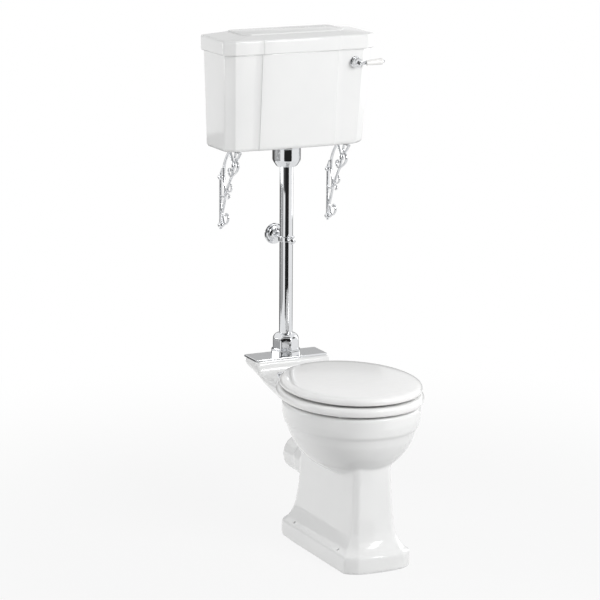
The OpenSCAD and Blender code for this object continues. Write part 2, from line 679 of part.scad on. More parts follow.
module clip_knob() color("silver") translate([0, pipe_y - clip_band_r - clip_lug, clip_z]) {
    difference() {
        translate([0, -clip_ball_r + 1, 0]) sphere(r = clip_ball_r);
        translate([-2 * clip_ball_r, 0, -2 * clip_ball_r]) cube(4 * clip_ball_r);
    }
    along_y() cylinder(r = clip_screw_r, h = clip_lug + 2);
}

// Brackets

// A smooth line through hand-set points
function spline_at(p, i, t) = let (n = len(p), a = p[max(i - 1, 0)], b = p[i], c = p[i + 1],
    d = p[min(i + 2, n - 1)])
    0.5 * (2 * b + (c - a) * t + (2 * a - 5 * b + 4 * c - d) * t * t + (3 * b - a - 3 * c + d) * t * t * t);
spline_steps = 4;
function spline(p) = concat([for (i = [0:len(p) - 2]) for (k = [0:spline_steps - 1])
    spline_at(p, i, k / spline_steps)], [p[len(p) - 1]]);

// A bar along a line, whose width goes from w0 to w1, with round ends
module bar(points, w0, w1) {
    line = [for (p = spline(points)) stretched(p)];
    n = len(line) - 1;
    normals = [for (i = [0:n])
        let (t = line[min(i + 1, n)] - line[max(i - 1, 0)], u = t / norm(t)) [-u[1], u[0]]];
    polygon(concat([for (i = [0:n]) line[i] + normals[i] * lerp(w0, w1, i / n) / 2],
        [for (i = [n:-1:0]) line[i] - normals[i] * lerp(w0, w1, i / n) / 2]));
    translate(line[0]) circle(r = w0 / 2, $fn = 16);
    translate(line[n]) circle(r = w1 / 2, $fn = 16);
}

// Heights here count down from the cistern's underside, and depths from the wall
thin = 0.8;
drawn_d = 138;
drawn_h = 240;
stretch = [bracket_d / drawn_d, bracket_h / drawn_h];
drawn_low = 227;
drawn_high = 90;
boss_low = drawn_low * stretch[1];
boss_high = drawn_high * stretch[1];
function stretched(p) = [p[0] * stretch[0], p[1] * stretch[1]];
module bracket_outline() {
    // bar under the cistern, with its turned-down front end
    bar([[6, -3], [70, -3], [drawn_d - 3, -3]], 6, 6);
    bar([[drawn_d - 3, -4], [122, -18], [107, -31]], bar_w, bar_w * thin);
    bar([[104, -6], [100, -20], [107, -31]], bar_w * thin, bar_w * thin);
    // wall bar between the screw bosses, with its finial and top leaf
    bar([[4, -drawn_high - 2], [3, -160], [3, -drawn_low + 2]], bar_w, bar_w);
    bar([[4, -drawn_high + 6], [6, -76], [12, -67]], bar_w, bar_w * 0.5);
    bar([[5, -drawn_low - 4], [4, -drawn_h + 4]], bar_w * 0.6, bar_w * 0.9);
    // two crossing bars up to the collar
    bar([[4, -drawn_low + 4], [10, -200], [17, -184], [27, -162], [34, -143]], bar_w, bar_w * thin);
    bar([[28, -219], [18, -202], [10, -182], [5, -160], [4, -145]], bar_w * thin, bar_w * thin);
    bar([[3, -144], [20, -143], [37, -141]], bar_w, bar_w);
    // tall loop from the collar to the bar under the cistern
    bar([[32, -138], [34, -118], [28, -99], [25, -80], [26, -60], [33, -43], [47, -24], [64, -6]],
        bar_w * thin, bar_w);
    bar([[64, -6], [77, -24], [85, -40], [86, -58], [78, -77], [66, -92], [56, -107], [46, -121],
        [34, -134]], bar_w, bar_w * thin);
    // curls above the collar
    bar([[44, -118], [56, -122], [67, -122], [75, -116], [77, -108], [70, -104]], bar_w * thin,
        bar_w * 0.6);
    bar([[36, -136], [50, -130], [60, -133], [62, -139], [56, -142]], bar_w * thin, bar_w * 0.6);
    // curl inside the loop
    bar([[78, -76], [66, -76], [57, -69], [58, -60], [66, -56], [71, -61]], bar_w * thin, bar_w * 0.6);
    // outer curve to the front end, with its leaf
    bar([[77, -78], [98, -67], [113, -56], [120, -44], [117, -35], [107, -31]], bar_w * thin, bar_w);
    bar([[84, -40], [93, -33], [99, -42], [95, -51], [88, -52]], bar_w * 0.7, bar_w * 0.6);
    // ring scroll at the foot
    bar([[20, -228], [30, -221], [41, -218], [51, -209], [55, -199], [51, -191], [43, -188], [38, -193]],
        bar_w * thin, bar_w * 0.7);
    // blobs that end the curls
    for (b = [[12, -67, 3.2], [71, -103, 3.8], [55, -142, 3.6], [71, -61, 3.8], [88, -52, 3.6],
        [39, -193, 4.6], [4, -drawn_h + 4, 4]]) translate(stretched(b)) circle(r = b[2], $fn = 20);
    // pads that tie the scrolls together
    translate(stretched([34, -137])) circle(r = 4.5, $fn = 20);
    translate(stretched([4, -144])) circle(r = 4, $fn = 20);
}
head_boss_r = 8;
head_boss_l = 8;
// How far the centre of a screw's round head lies inside its boss
screw_sink = 1;
module bracket() difference() {
    union() {
        translate([-bracket_t / 2, 0, 0]) rotate([90, 0, 90]) linear_extrude(height = bracket_t)
            intersection() {
                mirror([1, 0]) bracket_outline();
                translate([-400, -400]) square([400, 400]);
            }
        for (z = [boss_low, boss_high]) translate([0, 0, -z]) rotate([90, 0, 0])
            cylinder(r = head_boss_r, h = head_boss_l);
    }
    for (z = [boss_low, boss_high]) translate([0, past, -z]) rotate([90, 0, 0])
        cylinder(r = screw_r + fit_gap, h = head_boss_l + 2 * past);
}
module bracket_at(s) translate([s * bracket_x, wall_y, cistern_z]) bracket();
module bracket_left() color("silver") bracket_at(-1);
module bracket_right() color("silver") bracket_at(1);
module bracket_screws() color("silver") for (s = [-1, 1], z = [boss_low, boss_high])
    translate([s * bracket_x, wall_y - head_boss_l, cistern_z - z]) rotate([90, 0, 0]) {
        difference() {
            translate([0, 0, -screw_sink]) sphere(r = screw_head_r);
            translate([-2 * screw_head_r, -2 * screw_head_r, -4 * screw_head_r]) cube(4 * screw_head_r);
        }
        translate([0, 0, -head_boss_l]) cylinder(r = screw_r, h = head_boss_l + 1);
    }

// Cistern

// Half a cistern outline from back to front: back corner, front bevel of width c[0] and depth c[1],
// cove and middle panel
function half_plan(w, back, side, mid, c, p, q, r) = concat(
    [for (a = [0:30:90]) [w - r + r * sin(a), back + r * (1 - cos(a))]],
    [[w, side - c[1] - 4], [w - 1.5, side - c[1]], [w - c[0], side - 1.5], [w - c[0] - 4, side]],
    [for (a = [0:22.5:90]) [p + q - q * sin(a), side + (mid - side) * (1 - cos(a))]]);
// The whole outline, counterclockwise from above, with depths measured from the wall
function plan(w, back, side, mid, c, p, q, r) =
    let (h = half_plan(w, back, side, mid, c, p, q, r), n = len(h)) concat(
        [for (s = h) [-s[0], wall_y - s[1]]], [for (i = [n - 1:-1:0]) [h[i][0], wall_y - h[i][1]]]);

// Radius of the body's rear corners
back_r = 12;
// The body's outline at a share t of its height, drawn in by i
function body_plan(t, i, back = 0) = plan(cistern_w - side_draft * (1 - t) - i, back,
    cistern_d - front_draft * (1 - t) - i, cistern_d + panel_rise - front_draft * (1 - t) - i,
    [corner_c, corner_d], panel_w, cove_w, back_r);
function hollow_plan(t, z) = lift(round_rect(-cistern_w + side_draft * (1 - t) + cistern_t,
    cistern_w - side_draft * (1 - t) - cistern_t, wall_y - cistern_d + front_draft * (1 - t) + cistern_t,
    wall_y - cistern_t, 16), z);
front_lean = atan(front_draft / cistern_h);

// Local frame of the lever: on the right side panel, with -Y square to that panel
lever_z = top_z - lever_down;
lever_y = wall_y - cistern_d + lever_down * tan(front_lean);
module on_lever() translate([lever_x, lever_y, lever_z]) rotate([front_lean, 0, 0]) children();

bush_r = 8;
inlet_z = cistern_z + inlet_up;
inlet_y = wall_y - inlet_wall;
inlet_x = cistern_w - side_draft * (1 - inlet_up / cistern_h);
// The fill valve's tail is a little thicker where it passes the wall and its nut
shank_r = inlet_tail_r + 0.5;
// Depth of the flats that square the drafted walls for the nuts
spot_cut = 1;
spot_r = 17;
// The body and its lid are each lofted past their joint and cut level there
cut_off = 5;
module top_cutter(z) translate([-2 * cistern_w, wall_y - 2 * cistern_d, z])
    cube([4 * cistern_w, 3 * cistern_d, 2 * cut_off]);
module cistern() color("white") difference() {
    loft(concat([for (s = [[0, bottom_r * 0.8], [bottom_r * 0.1, bottom_r * 0.42],
        [bottom_r * 0.35, bottom_r * 0.15], [bottom_r, 0], [cistern_h - 2, 0], [cistern_h, 1],
        [cistern_h + cut_off, 1]]) lift(body_plan(s[0] / cistern_h, s[1]), cistern_z + s[0])]));
    top_cutter(top_z);
    loft([hollow_plan(cistern_t / cistern_h, floor_z), hollow_plan(1 + past / cistern_h, top_z + past)]);
    translate([0, pipe_y, cistern_z - past]) cylinder(r = tail_r + 0.5, h = cistern_t + 2 * past);
    on_lever() translate([0, -5, 0]) along_y() cylinder(r = bush_r + seat_gap, h = cistern_t + 10);
    translate([inlet_x - cistern_t - 8, inlet_y, inlet_z]) along_x()
        cylinder(r = shank_r + 0.5, h = cistern_t + 20);
    for (s = [-1, 1]) translate([s * wall_hole_x, wall_y - cistern_t - past, cistern_z + wall_hole_z])
        along_y() cylinder(r = wall_hole_r, h = cistern_t + 2 * past);
    on_lever() translate([0, cistern_t - spot_cut, 0]) along_y() cylinder(r = spot_r, h = 10);
    translate([inlet_x - spot_cut, inlet_y, inlet_z]) along_x() cylinder(r = spot_r, h = 10);
    translate([inlet_x - cistern_t - 8, inlet_y, inlet_z]) along_x() cylinder(r = 15.5, h = 8 + spot_cut);
}

// Cistern lid

lid_w = cistern_w + lid_over;
lid_side = cistern_d + lid_front;
lid_mid = lid_side + panel_rise - 2;
// Two lugs under the lid keep it from sliding off the body
lug_gap = 1;
lug_t = 6;
lug_drop = 9;
lug_l = 70;
lug_wall = 50;
module lid_lugs() for (s = [-1, 1])
    translate([s * (cistern_w - cistern_t - lug_gap - lug_t / 2) - lug_t / 2, wall_y - lug_wall - lug_l,
        top_z - lug_drop]) cube([lug_t, lug_l, lug_drop + 20]);
module cistern_lid() color("white") {
    difference() {
        loft(concat(
            [for (s = [[-cut_off, 1.5], [0, 1.5], [2, 0], [lid_edge_h - 3, 0], [lid_edge_h, 1.2],
                [lid_edge_h + 1.5, 4]]) lift(plan(lid_w - s[1], 0, lid_side - s[1], lid_mid - s[1],
                    [corner_c + 5, corner_d + 2], panel_w, cove_w - 4, 15), top_z + s[0])],
            [lift(plan(top_w + 1, 19, top_d + 21, top_d + 21.5, [23, 23], 88, 10, 16),
                top_z + lid_edge_h + lid_hip_h - top_step),
            lift(plan(top_w, 20, top_d + 20, top_d + 20.5, [22, 22], 88, 10, 16),
                top_z + lid_edge_h + lid_hip_h)]));
        top_cutter(top_z - 2 * cut_off);
        loft([for (s = [[-past, 0], [lid_edge_h - 8, 6], [lid_edge_h, 20]])
            lift(round_rect(-lid_w + lid_wall + s[1], lid_w - lid_wall - s[1],
                wall_y - lid_side + lid_wall + s[1], wall_y - cistern_t - 2 - s[1], 14), top_z + s[0])]);
    }
    lid_lugs();
}

// Lever

rose_l = 11;
// How far the lever's bush stands out inside the cistern
bush_out = 14;
lever_nut_h = 8;
module lever_rose() color("silver") on_lever() difference() {
    rotate([90, 0, 0]) rotate_extrude() polygon([[0, -cistern_t - bush_out],
        [bush_r, -cistern_t - bush_out], [bush_r, 0.1], [rose_r, 0.1],
        [rose_r, 2.5], [rose_r - 1, 3.5], [rose_r - 3.5, 3.5], [rose_r - 3.5, 6],
        [rose_r - 5, 7.5], [rose_r - 7, 8], [rose_r - 7, rose_l], [0, rose_l]]);
    translate([0, -rose_l - past, 0]) along_y()
        cylinder(r = spindle_r + run_gap, h = rose_l + cistern_t + bush_out + 2 * past);
}
module lever_nut() color("gold") on_lever() translate([0, cistern_t - spot_cut, 0]) along_y()
    hex_ring(spot_r - 2, bush_r + fit_gap, lever_nut_h);

// The arm starts below level by half the lever's turn and ends above level by the other half
arm_l = (lever_x - rod_x) / cos(lever_turn / 2);
arm_drop = arm_l * sin(lever_turn / 2);
spindle_in = wall_y - lever_y - pipe_wall - 12;
arm_t = 5;
pin_r = 2.5;
module lever_hub() color("silver") on_lever() {
    translate([0, -rose_l - 12, 0]) along_y() cylinder(r = spindle_r, h = rose_l + 12 + spindle_in);
    rotate([90, 0, 0]) translate([0, 0, rose_l + seat_gap]) rotate_extrude() polygon([[0, 0], [9, 0],
        [13, 2], [14, 5], [13.8, 9], [12.4, 14], [9.8, 19], [6, 23], [2.5, 25], [0, 25.4]]);
    tilted() along_x() rotate_extrude() polygon([[0, 0], [5, 0], [5, grip_start - 9],
        [3.6, grip_start - 7], [3.6, grip_start - 5.5], [6, grip_start - 4.5], [6.5, grip_start - 3],
        [6, grip_start - 1.7], [5, grip_start - 1], [5, grip_start], [0, grip_start]]);
}
module tilted() translate([0, -grip_out, 0]) rotate([0, -grip_tilt, 0]) children();
module on_grip() on_lever() tilted() translate([grip_start, 0, 0]) along_x() children();
module lever_grip() color("white") on_grip() rotate_extrude() polygon(concat([[2.02, 0], [6, 0], [7, 1]],
    [for (t = [0.1:0.1:0.9]) [lerp(7.2, grip_r, smooth(t)), grip_l * t]],
    [[grip_r - 0.6, grip_l - 1], [grip_r - 2, grip_l], [2.02, grip_l]]));
module lever_tip() color("silver") on_grip() {
    cylinder(r = 2, h = grip_l);
    translate([0, 0, grip_l]) rotate_extrude() polygon([[0, 0], [6, 0], [6, 1.5], [4, 2.5], [4.6, 4],
        [4, 6], [2, 7.4], [0, 7.8]]);
}
module lever_arm() color("silver") on_lever() translate([0, spindle_in - 6, 0]) difference() {
    union() {
        rotate([0, 180 - lever_turn / 2, 0]) translate([0, 0, -5]) cube([arm_l - 2, arm_t, 10]);
        along_y() cylinder(r = 11, h = arm_t + 5);
        translate([-(lever_x - rod_x), 0, -arm_drop]) along_y() cylinder(r = pin_r, h = 30);
        translate([-(lever_x - rod_x), -0.5, -arm_drop]) along_y() cylinder(r = 6, h = arm_t + 1);
    }
    translate([0, -past, 0]) along_y() cylinder(r = spindle_r + fit_gap, h = arm_t + 5 + 2 * past);
}

// Siphon

crown_z = floor_z + crown_h;
chamber_z = floor_z + 8;
leg_x = chamber_x - 14;
module siphon_solid(extra) {
    translate([0, pipe_y, floor_z + past]) cylinder(r = leg_r + extra, h = crown_z - floor_z - past);
    translate([leg_x, pipe_y, chamber_z + chamber_h - 4]) cylinder(r = leg_r + extra - 2, h = crown_z
        - chamber_z - chamber_h + 4);
    translate([0, pipe_y, crown_z]) sphere(r = leg_r + extra);
    translate([leg_x, pipe_y, crown_z]) sphere(r = leg_r + extra - 2);
    translate([0, pipe_y, crown_z]) along_x() cylinder(r = leg_r + extra - 2, h = leg_x);
    translate([chamber_x, pipe_y, chamber_z]) cylinder(r = chamber_r + siphon_t + extra, h = chamber_h);
}
module siphon_body() color("whitesmoke") difference() {
    union() {
        siphon_solid(0);
        translate([0, pipe_y, cistern_z - tail_l]) cylinder(r = tail_r, h = tail_l + cistern_t + 6);
        translate([0, pipe_y, floor_z]) cylinder(r = tail_r + 7, h = 5);
    }
    translate([0, pipe_y, cistern_z - tail_l - past]) cylinder(r = pipe_r + fit_gap, h = pipe_rise + 2);
    translate([0, pipe_y, cistern_z - tail_l])
        cylinder(r = leg_r - siphon_t, h = crown_z - cistern_z + tail_l);
    translate([0, pipe_y, crown_z]) sphere(r = leg_r - siphon_t);
    translate([leg_x, pipe_y, crown_z]) sphere(r = leg_r - siphon_t - 2);
    translate([0, pipe_y, crown_z]) along_x() cylinder(r = leg_r - siphon_t - 2, h = leg_x);
    translate([leg_x, pipe_y, chamber_z + chamber_h - 8])
        cylinder(r = leg_r - siphon_t - 2, h = crown_z - chamber_z - chamber_h + 8);
    translate([chamber_x, pipe_y, chamber_z - past])
        cylinder(r = chamber_r, h = chamber_h - siphon_t + past);
    translate([rod_x, pipe_y, chamber_z]) cylinder(r = rod_r + run_gap, h = chamber_h + past);
}

// The plunger is lifted by an eye that the lever's pin slides in
eye_z = lever_z + (pipe_y - lever_y) * tan(front_lean) - arm_drop / cos(front_lean);
plunger_z = chamber_z + 10;
plunger_t = 4;
eye_h = 11;
eye_slack = 1.2;
module siphon_plunger() color("white") {
    translate([chamber_x, pipe_y, plunger_z]) difference() {
        cylinder(r = chamber_r - 0.5, h = plunger_t);
        for (a = [60:60:300]) rotate([0, 0, a]) translate([19, 0, -past])
            cylinder(r = 7, h = plunger_t + 2 * past);
    }
    translate([rod_x, pipe_y, plunger_z]) cylinder(r = rod_r, h = eye_z - plunger_z - eye_h + 3);
    translate([rod_x, pipe_y, eye_z]) difference() {
        translate([-12, -4, -eye_h]) cube([24, 8, 2 * eye_h]);
        hull() for (s = [-1, 1]) translate([s * 4, -10, 0]) along_y()
            cylinder(r = pin_r + eye_slack, h = 20, $fn = 32);
    }
}
module siphon_flap() color("dimgray") translate([chamber_x, pipe_y, plunger_z + plunger_t]) difference() {
    cylinder(r = chamber_r - 1.5, h = 1.2);
    translate([rod_x - chamber_x, 0, -past]) cylinder(r = rod_r + fit_gap, h = 4);
}

// Fill valve and float

valve_r = 13;
valve_flange_r = 14.5;
valve_washer_t = 2;
valve_nut_h = 8;
shank_end = inlet_x - spot_cut + valve_nut_h + 1;
valve_seat = inlet_x - cistern_t + spot_cut;
valve_x = valve_seat - valve_washer_t - 3;
pivot_x = valve_x - valve_l - 6;
valve_bore_r = 5;
spout_x = 24;
spout_l = 70;
spout_r = 6;
spout_t = 2;
float_pin_r = 2;
float_drop = 40;
module valve_at(x) translate([x, inlet_y, inlet_z]) along_x() children();
module fill_valve() color("whitesmoke") difference() {
    union() {
        valve_at(valve_x + 1) cylinder(r = shank_r, h = shank_end - valve_x - 1);
        valve_at(shank_end - 2) cylinder(r = inlet_tail_r, h = inlet_x + inlet_out - shank_end + 2);
        valve_at(valve_x) cylinder(r = valve_flange_r, h = 3);
        valve_at(valve_x - valve_l) cylinder(r = valve_r, h = valve_l + 1);
        for (s = [-1, 1]) translate([pivot_x - 6, inlet_y + s * 8 - 2, inlet_z - 8]) cube([20, 4, 16]);
        translate([valve_x - spout_x, inlet_y, inlet_z - spout_l]) cylinder(r = spout_r, h = spout_l - 4);
    }
    valve_at(valve_x - 20) cylinder(r = valve_bore_r, h = valve_l + inlet_tail_r + 2 * inlet_out);
    translate([valve_x - spout_x, inlet_y, inlet_z - spout_l - past])
        cylinder(r = spout_r - spout_t, h = spout_l - 8);
    translate([pivot_x, inlet_y - 20, inlet_z]) along_y() cylinder(r = float_pin_r + fit_gap, h = 40);
}
module valve_washer() color("dimgray") valve_at(valve_seat - valve_washer_t)
    tube(valve_flange_r, shank_r + fit_gap, valve_washer_t);
module valve_nut() color("gold") valve_at(inlet_x - spot_cut)
    hex_ring(spot_r - 1, shank_r + fit_gap, valve_nut_h);

// The float hangs at the lowest end of its swing, as it does in an empty cistern
module on_float() translate([pivot_x, inlet_y, inlet_z]) rotate([0, -float_drop, 0]) children();
module float_arm() color("gold") on_float() difference() {
    union() {
        translate([0, -5.5, 0]) along_y() cylinder(r = 5, h = 11);
        translate([-float_arm_l, -2, -3]) cube([float_arm_l, 4, 6]);
        translate([-float_arm_l, 0, -8]) cylinder(r = 5, h = 16);
    }
    translate([0, -20, 0]) along_y() cylinder(r = float_pin_r + run_gap, h = 40);
}
module float_pin() color("silver") translate([pivot_x, inlet_y - 11, inlet_z]) along_y()
    cylinder(r = float_pin_r, h = 22);
module float() color("orangered") on_float() translate([-float_arm_l, 0, -8 - float_h])
    rotate_extrude() polygon([[0, 0], [float_r - 4, 0], [float_r, 4], [float_r, float_h - 8],
        [float_r - 8, float_h], [0, float_h]]);

pan_bowl();
pan_shelf();
pan_pedestal();
pan_outlet();
seat_ring();
ring_bumpers();
ring_hinge_leaves();
seat_lid();
lid_bumpers();
lid_hinge_leaves();
hinge_posts();
hinge_pins();
hinge_bolts();
hinge_washers();
hinge_nuts();
cover_plate();
inlet_seal();
pan_flange();
pan_nut();
flush_pipe();
clip_rosette();
clip_band();
clip_knob();
bell_cup();
tail_nut();
pipe_nut();
tail_washer();
bracket_left();
bracket_right();
bracket_screws();
cistern();
cistern_lid();
lever_rose();
lever_nut();
lever_hub();
lever_grip();
lever_tip();
lever_arm();
siphon_body();
siphon_plunger();
siphon_flap();
fill_valve();
valve_nut();
valve_washer();
float_arm();
float_pin();
float();
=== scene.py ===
"""Medium level toilet: the finished looks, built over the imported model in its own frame.

The object stands with the centre of its foot on the origin, its front towards -Y and the wall
behind it at y = 0.465 m. Sizes in the classes are millimetres, and meshes are made in metres.
"""

from __future__ import annotations

import logging
import math
from dataclasses import dataclass
from enum import Enum
from typing import Any, Callable, Iterable, Sequence

import bmesh
import bpy
import numpy as np
from mathutils import Matrix, Vector

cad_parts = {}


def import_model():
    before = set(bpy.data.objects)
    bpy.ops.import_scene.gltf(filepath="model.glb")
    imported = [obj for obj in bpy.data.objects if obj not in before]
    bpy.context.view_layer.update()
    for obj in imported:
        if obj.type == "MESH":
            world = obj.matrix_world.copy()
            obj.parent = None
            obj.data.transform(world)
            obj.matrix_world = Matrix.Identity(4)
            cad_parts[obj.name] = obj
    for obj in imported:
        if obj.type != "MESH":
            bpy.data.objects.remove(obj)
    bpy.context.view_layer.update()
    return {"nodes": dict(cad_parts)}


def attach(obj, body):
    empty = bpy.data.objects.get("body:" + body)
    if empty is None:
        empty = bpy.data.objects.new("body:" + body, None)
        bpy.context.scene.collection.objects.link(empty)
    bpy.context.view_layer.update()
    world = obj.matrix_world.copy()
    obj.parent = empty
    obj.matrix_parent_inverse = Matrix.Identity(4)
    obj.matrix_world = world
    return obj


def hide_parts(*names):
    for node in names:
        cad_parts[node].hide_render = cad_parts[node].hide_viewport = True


LOG = logging.getLogger("medium_level_toilet")
MM = 0.001

# Places in millimetres: the wall, the flush pipe's axis, the pan's rim and shelf, the cover plate's
# top, the cistern's underside and rim, and where the ovals of the bowl and the seat are widest.
WALL_Y = 465.0
PIPE_Y = 385.0
RIM_Z = 434.0
SHELF_Z = 467.0
PLATE_TOP = 472.0
CISTERN_Z = 1073.0
TOP_Z = 1346.0
OVAL_Y = -21.0

# How meshes are made: points round an oval and an octagon, half the angle from which a corner counts
# as straight, the share of a side that a rounding may take, and the distances in metres under which
# points are merged and edges dropped.
OVAL_POINTS = 160
OCTAGON_POINTS = 96
STRAIGHT = math.radians(89.5)
SIDE_SHARE = 0.49
WELD = 1e-6
THIN = 1e-7

# Edges that turn by more than this many degrees stay crisp.
SHARP_CHROME = 24.0
SHARP_CHINA = 32.0

# The colour sockets of a Mix node, the inner circle of an octagon whose corners are 1 away, and the
# turn that lays what stands on Z along -Y, out from the wall.
MIX_FIRST, MIX_LAST, MIX_COLOUR = 6, 7, 2
HALF_SIDE = math.cos(math.pi / 8)
TO_FRONT = Matrix.Rotation(math.pi / 2, 3, "X")
WHITE = (1.0, 1.0, 1.0, 1.0)

# What the hints call a colour, a table, a path, a place and two numbers that belong together.
Colour = tuple[float, float, float, float]
Rows = tuple[tuple[float, ...], ...]
Points = Sequence[Sequence[float]]
Triple = tuple[float, float, float]
Pair = tuple[float, float]


def by_maths(kind: str, swapped: bool = False) -> Callable[["Sock", Any], "Sock"]:
    """Return a method that joins a Sock and another value by one Math node.

    Args:
        kind: The node's operation.
        swapped: Whether the other value comes first.

    Returns:
        The method.
    """

    def method(self: "Sock", other: Any) -> "Sock":
        """Return the outcome for self and other."""
        return self.maths(kind, other, self) if swapped else self.maths(kind, self, other)

    return method


class Sock:
    """An output of a shader node that takes part in Python expressions."""

    def __init__(self, tree: bpy.types.NodeTree, socket: bpy.types.NodeSocket) -> None:
        """Keep the tree and the socket."""
        self.tree = tree
        self.socket = socket

    def maths(self, operation: str, first: Any, second: Any) -> "Sock":
        """Add one Math node.

        Args:
            operation: The node's operation.
            first: A number or a Sock.
            second: A number or a Sock.

        Returns:
            The node's output.
        """
        node = self.tree.nodes.new("ShaderNodeMath")
        node.operation = operation
        for slot, value in enumerate((first, second)):
            if isinstance(value, Sock):
                self.tree.links.new(value.socket, node.inputs[slot])
            else:
                node.inputs[slot].default_value = float(value)
        return Sock(self.tree, node.outputs[0])

    __add__ = by_maths("ADD")
    __radd__ = by_maths("ADD", swapped=True)
    __sub__ = by_maths("SUBTRACT")
    __rsub__ = by_maths("SUBTRACT", swapped=True)
    __mul__ = by_maths("MULTIPLY")
    __pow__ = by_maths("POWER")
    most = by_maths("MAXIMUM")

    def ramp(self, low: float, high: float) -> "Sock":
        """Map a span smoothly onto 0 to 1.

        Args:
            low: The value that becomes 0, as all below it does.
            high: The value that becomes 1, as all above it does.

        Returns:
            The mapped value.
        """
        node = self.tree.nodes.new("ShaderNodeMapRange")
        node.interpolation_type = "SMOOTHSTEP"
        self.tree.links.new(self.socket, node.inputs["Value"])
        for name, value in (("From Min", low), ("From Max", high)):
            node.inputs[name].default_value = value
        return Sock(self.tree, node.outputs["Result"])


class Tree:
    """A node tree of either kind, with one short way to add any node."""

    def __init__(self, tree: bpy.types.NodeTree) -> None:
        """Keep the tree and clear it."""
        self.tree = tree
        self.tree.nodes.clear()

    def node(
        self,
        kind: str,
        settings: dict[str, Any] | None = None,
        inputs: dict[Any, Any] | None = None,
        output: int | str = 0,
    ) -> Sock:
        """Add any node.

        Args:
            kind: The node's type.
            settings: The node's own settings, which are set first.
            inputs: Values or links of its sockets, by name or number.
            output: The output to return.

        Returns:
            The chosen output.
        """
        made = self.tree.nodes.new(kind)
        for key, value in (settings or {}).items():
            setattr(made, key, value)
        for key, value in (inputs or {}).items():
            for one in value if isinstance(value, list) else [value]:
                if isinstance(one, Sock):
                    self.tree.links.new(one.socket, made.inputs[key])
                else:
                    made.inputs[key].default_value = one
        return Sock(self.tree, made.outputs[output] if made.outputs else None)

    def parts(self, spot: Sock) -> tuple[Sock, Sock, Sock]:
        """Split a place into its numbers.

        Args:
            spot: The place.

        Returns:
            Its x, y and z.
        """
        made = self.tree.nodes.new("ShaderNodeSeparateXYZ")
        self.tree.links.new(spot.socket, made.inputs[0])
        return tuple(Sock(self.tree, made.outputs[i]) for i in range(3))

    def seen(self) -> Sock:
        """Return 1 for rays that come from the eye or from something glossy or clear."""
        rays = self.tree.nodes.new("ShaderNodeLightPath")
        kinds = ("Is Camera Ray", "Is Glossy Ray", "Is Transmission Ray")
        eye, glossy, clear = (Sock(self.tree, rays.outputs[k]) for k in kinds)
        return eye.most(glossy).most(clear)


class Paint(Tree):
    """One material's node tree."""

    def __init__(self, name: str) -> None:
        """Make an empty material of that name."""
        self.material = bpy.data.materials.new(name)
        self.material.use_nodes = True
        super().__init__(self.material.node_tree)

    def place(self) -> Sock:
        """Return the piece's own coordinates."""
        return self.node("ShaderNodeTexCoord", output="Object")

    def noise(
        self, scale: float, detail: float = 3.0, rough: float = 0.5, stretch: Sequence[float] = (1, 1, 1)
    ) -> Sock:
        """Return a noise of mean one half over the piece.

        Args:
            scale: Cells to a metre.
            detail: Octaves.
            rough: How strong the finer octaves are.
            stretch: Scale along each axis.

        Returns:
            The noise's value.
        """
        spot = self.place()
        if tuple(stretch) != (1, 1, 1):
            spot = self.node("ShaderNodeMapping", inputs={"Vector": spot, "Scale": tuple(stretch)})
        values = {"Vector": spot, "Scale": scale, "Detail": detail, "Roughness": rough}
        return self.node("ShaderNodeTexNoise", inputs=values)

    def blend(self, share: Any, first: Any, last: Any) -> Sock:
        """Return a colour between first and last by share."""
        values = {0: share, MIX_FIRST: first, MIX_LAST: last}
        return self.node("ShaderNodeMix", {"data_type": "RGBA"}, values, output=MIX_COLOUR)

    def bump(self, height: Sock, distance: float) -> Sock:
        """Return a normal raised by height, distance metres to a unit."""
        values = {"Height": height, "Distance": distance, "Strength": 1.0}
        return self.node("ShaderNodeBump", inputs=values)

    def glow(self, share: Sock, under: Sock, colour: Colour) -> bpy.types.Material:
        """Finish as a surface that gives way to a plain glow.

        Args:
            share: How much of the glow shows.
            under: The surface under it.
            colour: The glow's colour.

        Returns:
            The finished material.
        """
        light = self.node("ShaderNodeEmission", inputs={"Color": colour})
        mixed = self.node("ShaderNodeMixShader", inputs={0: share, 1: under, 2: light})
        self.node("ShaderNodeOutputMaterial", inputs={"Surface": mixed})
        return self.material

    def finish(self, **inputs: Any) -> bpy.types.Material:
        """Add the surface shader and the output.

        Args:
            inputs: Values or links of the surface shader, with _ for a space in a name.

        Returns:
            The finished material.
        """
        values = {key.replace("_", " "): value for key, value in inputs.items()}
        surface = self.node("ShaderNodeBsdfPrincipled", inputs=values)
        self.node("ShaderNodeOutputMaterial", inputs={"Surface": surface})
        return self.material


@dataclass(frozen=True)
class Glaze:
    """White vitreous china under a clear glaze, with the slow waves and pin marks of a real one."""

    name: str = "glazed_china"
    body: Colour = (0.875, 0.878, 0.874, 1.0)
    pooled: Colour = (0.845, 0.85, 0.848, 1.0)
    roughness: float = 0.075
    wave: float = 0.00035

    def material(self) -> bpy.types.Material:
        """Return the glaze as a material."""
        paint = Paint(self.name)
        cloud = paint.noise(7.0, 2.0).ramp(0.35, 0.7)
        fine = paint.noise(120.0, 2.0)
        pins = paint.noise(420.0, 1.0).ramp(0.78, 0.86)
        slow = paint.noise(16.0, 1.0)
        height = slow * self.wave + fine * (self.wave * 0.05) - pins * 0.00002
        rough = self.roughness + cloud * 0.03 + pins * 0.12
        return paint.finish(
            Base_Color=paint.blend(cloud * 0.55 + pins * 0.3, self.body, self.pooled),
            Roughness=rough,
            IOR=1.52,
            Normal=paint.bump(height, 1.0),
        )


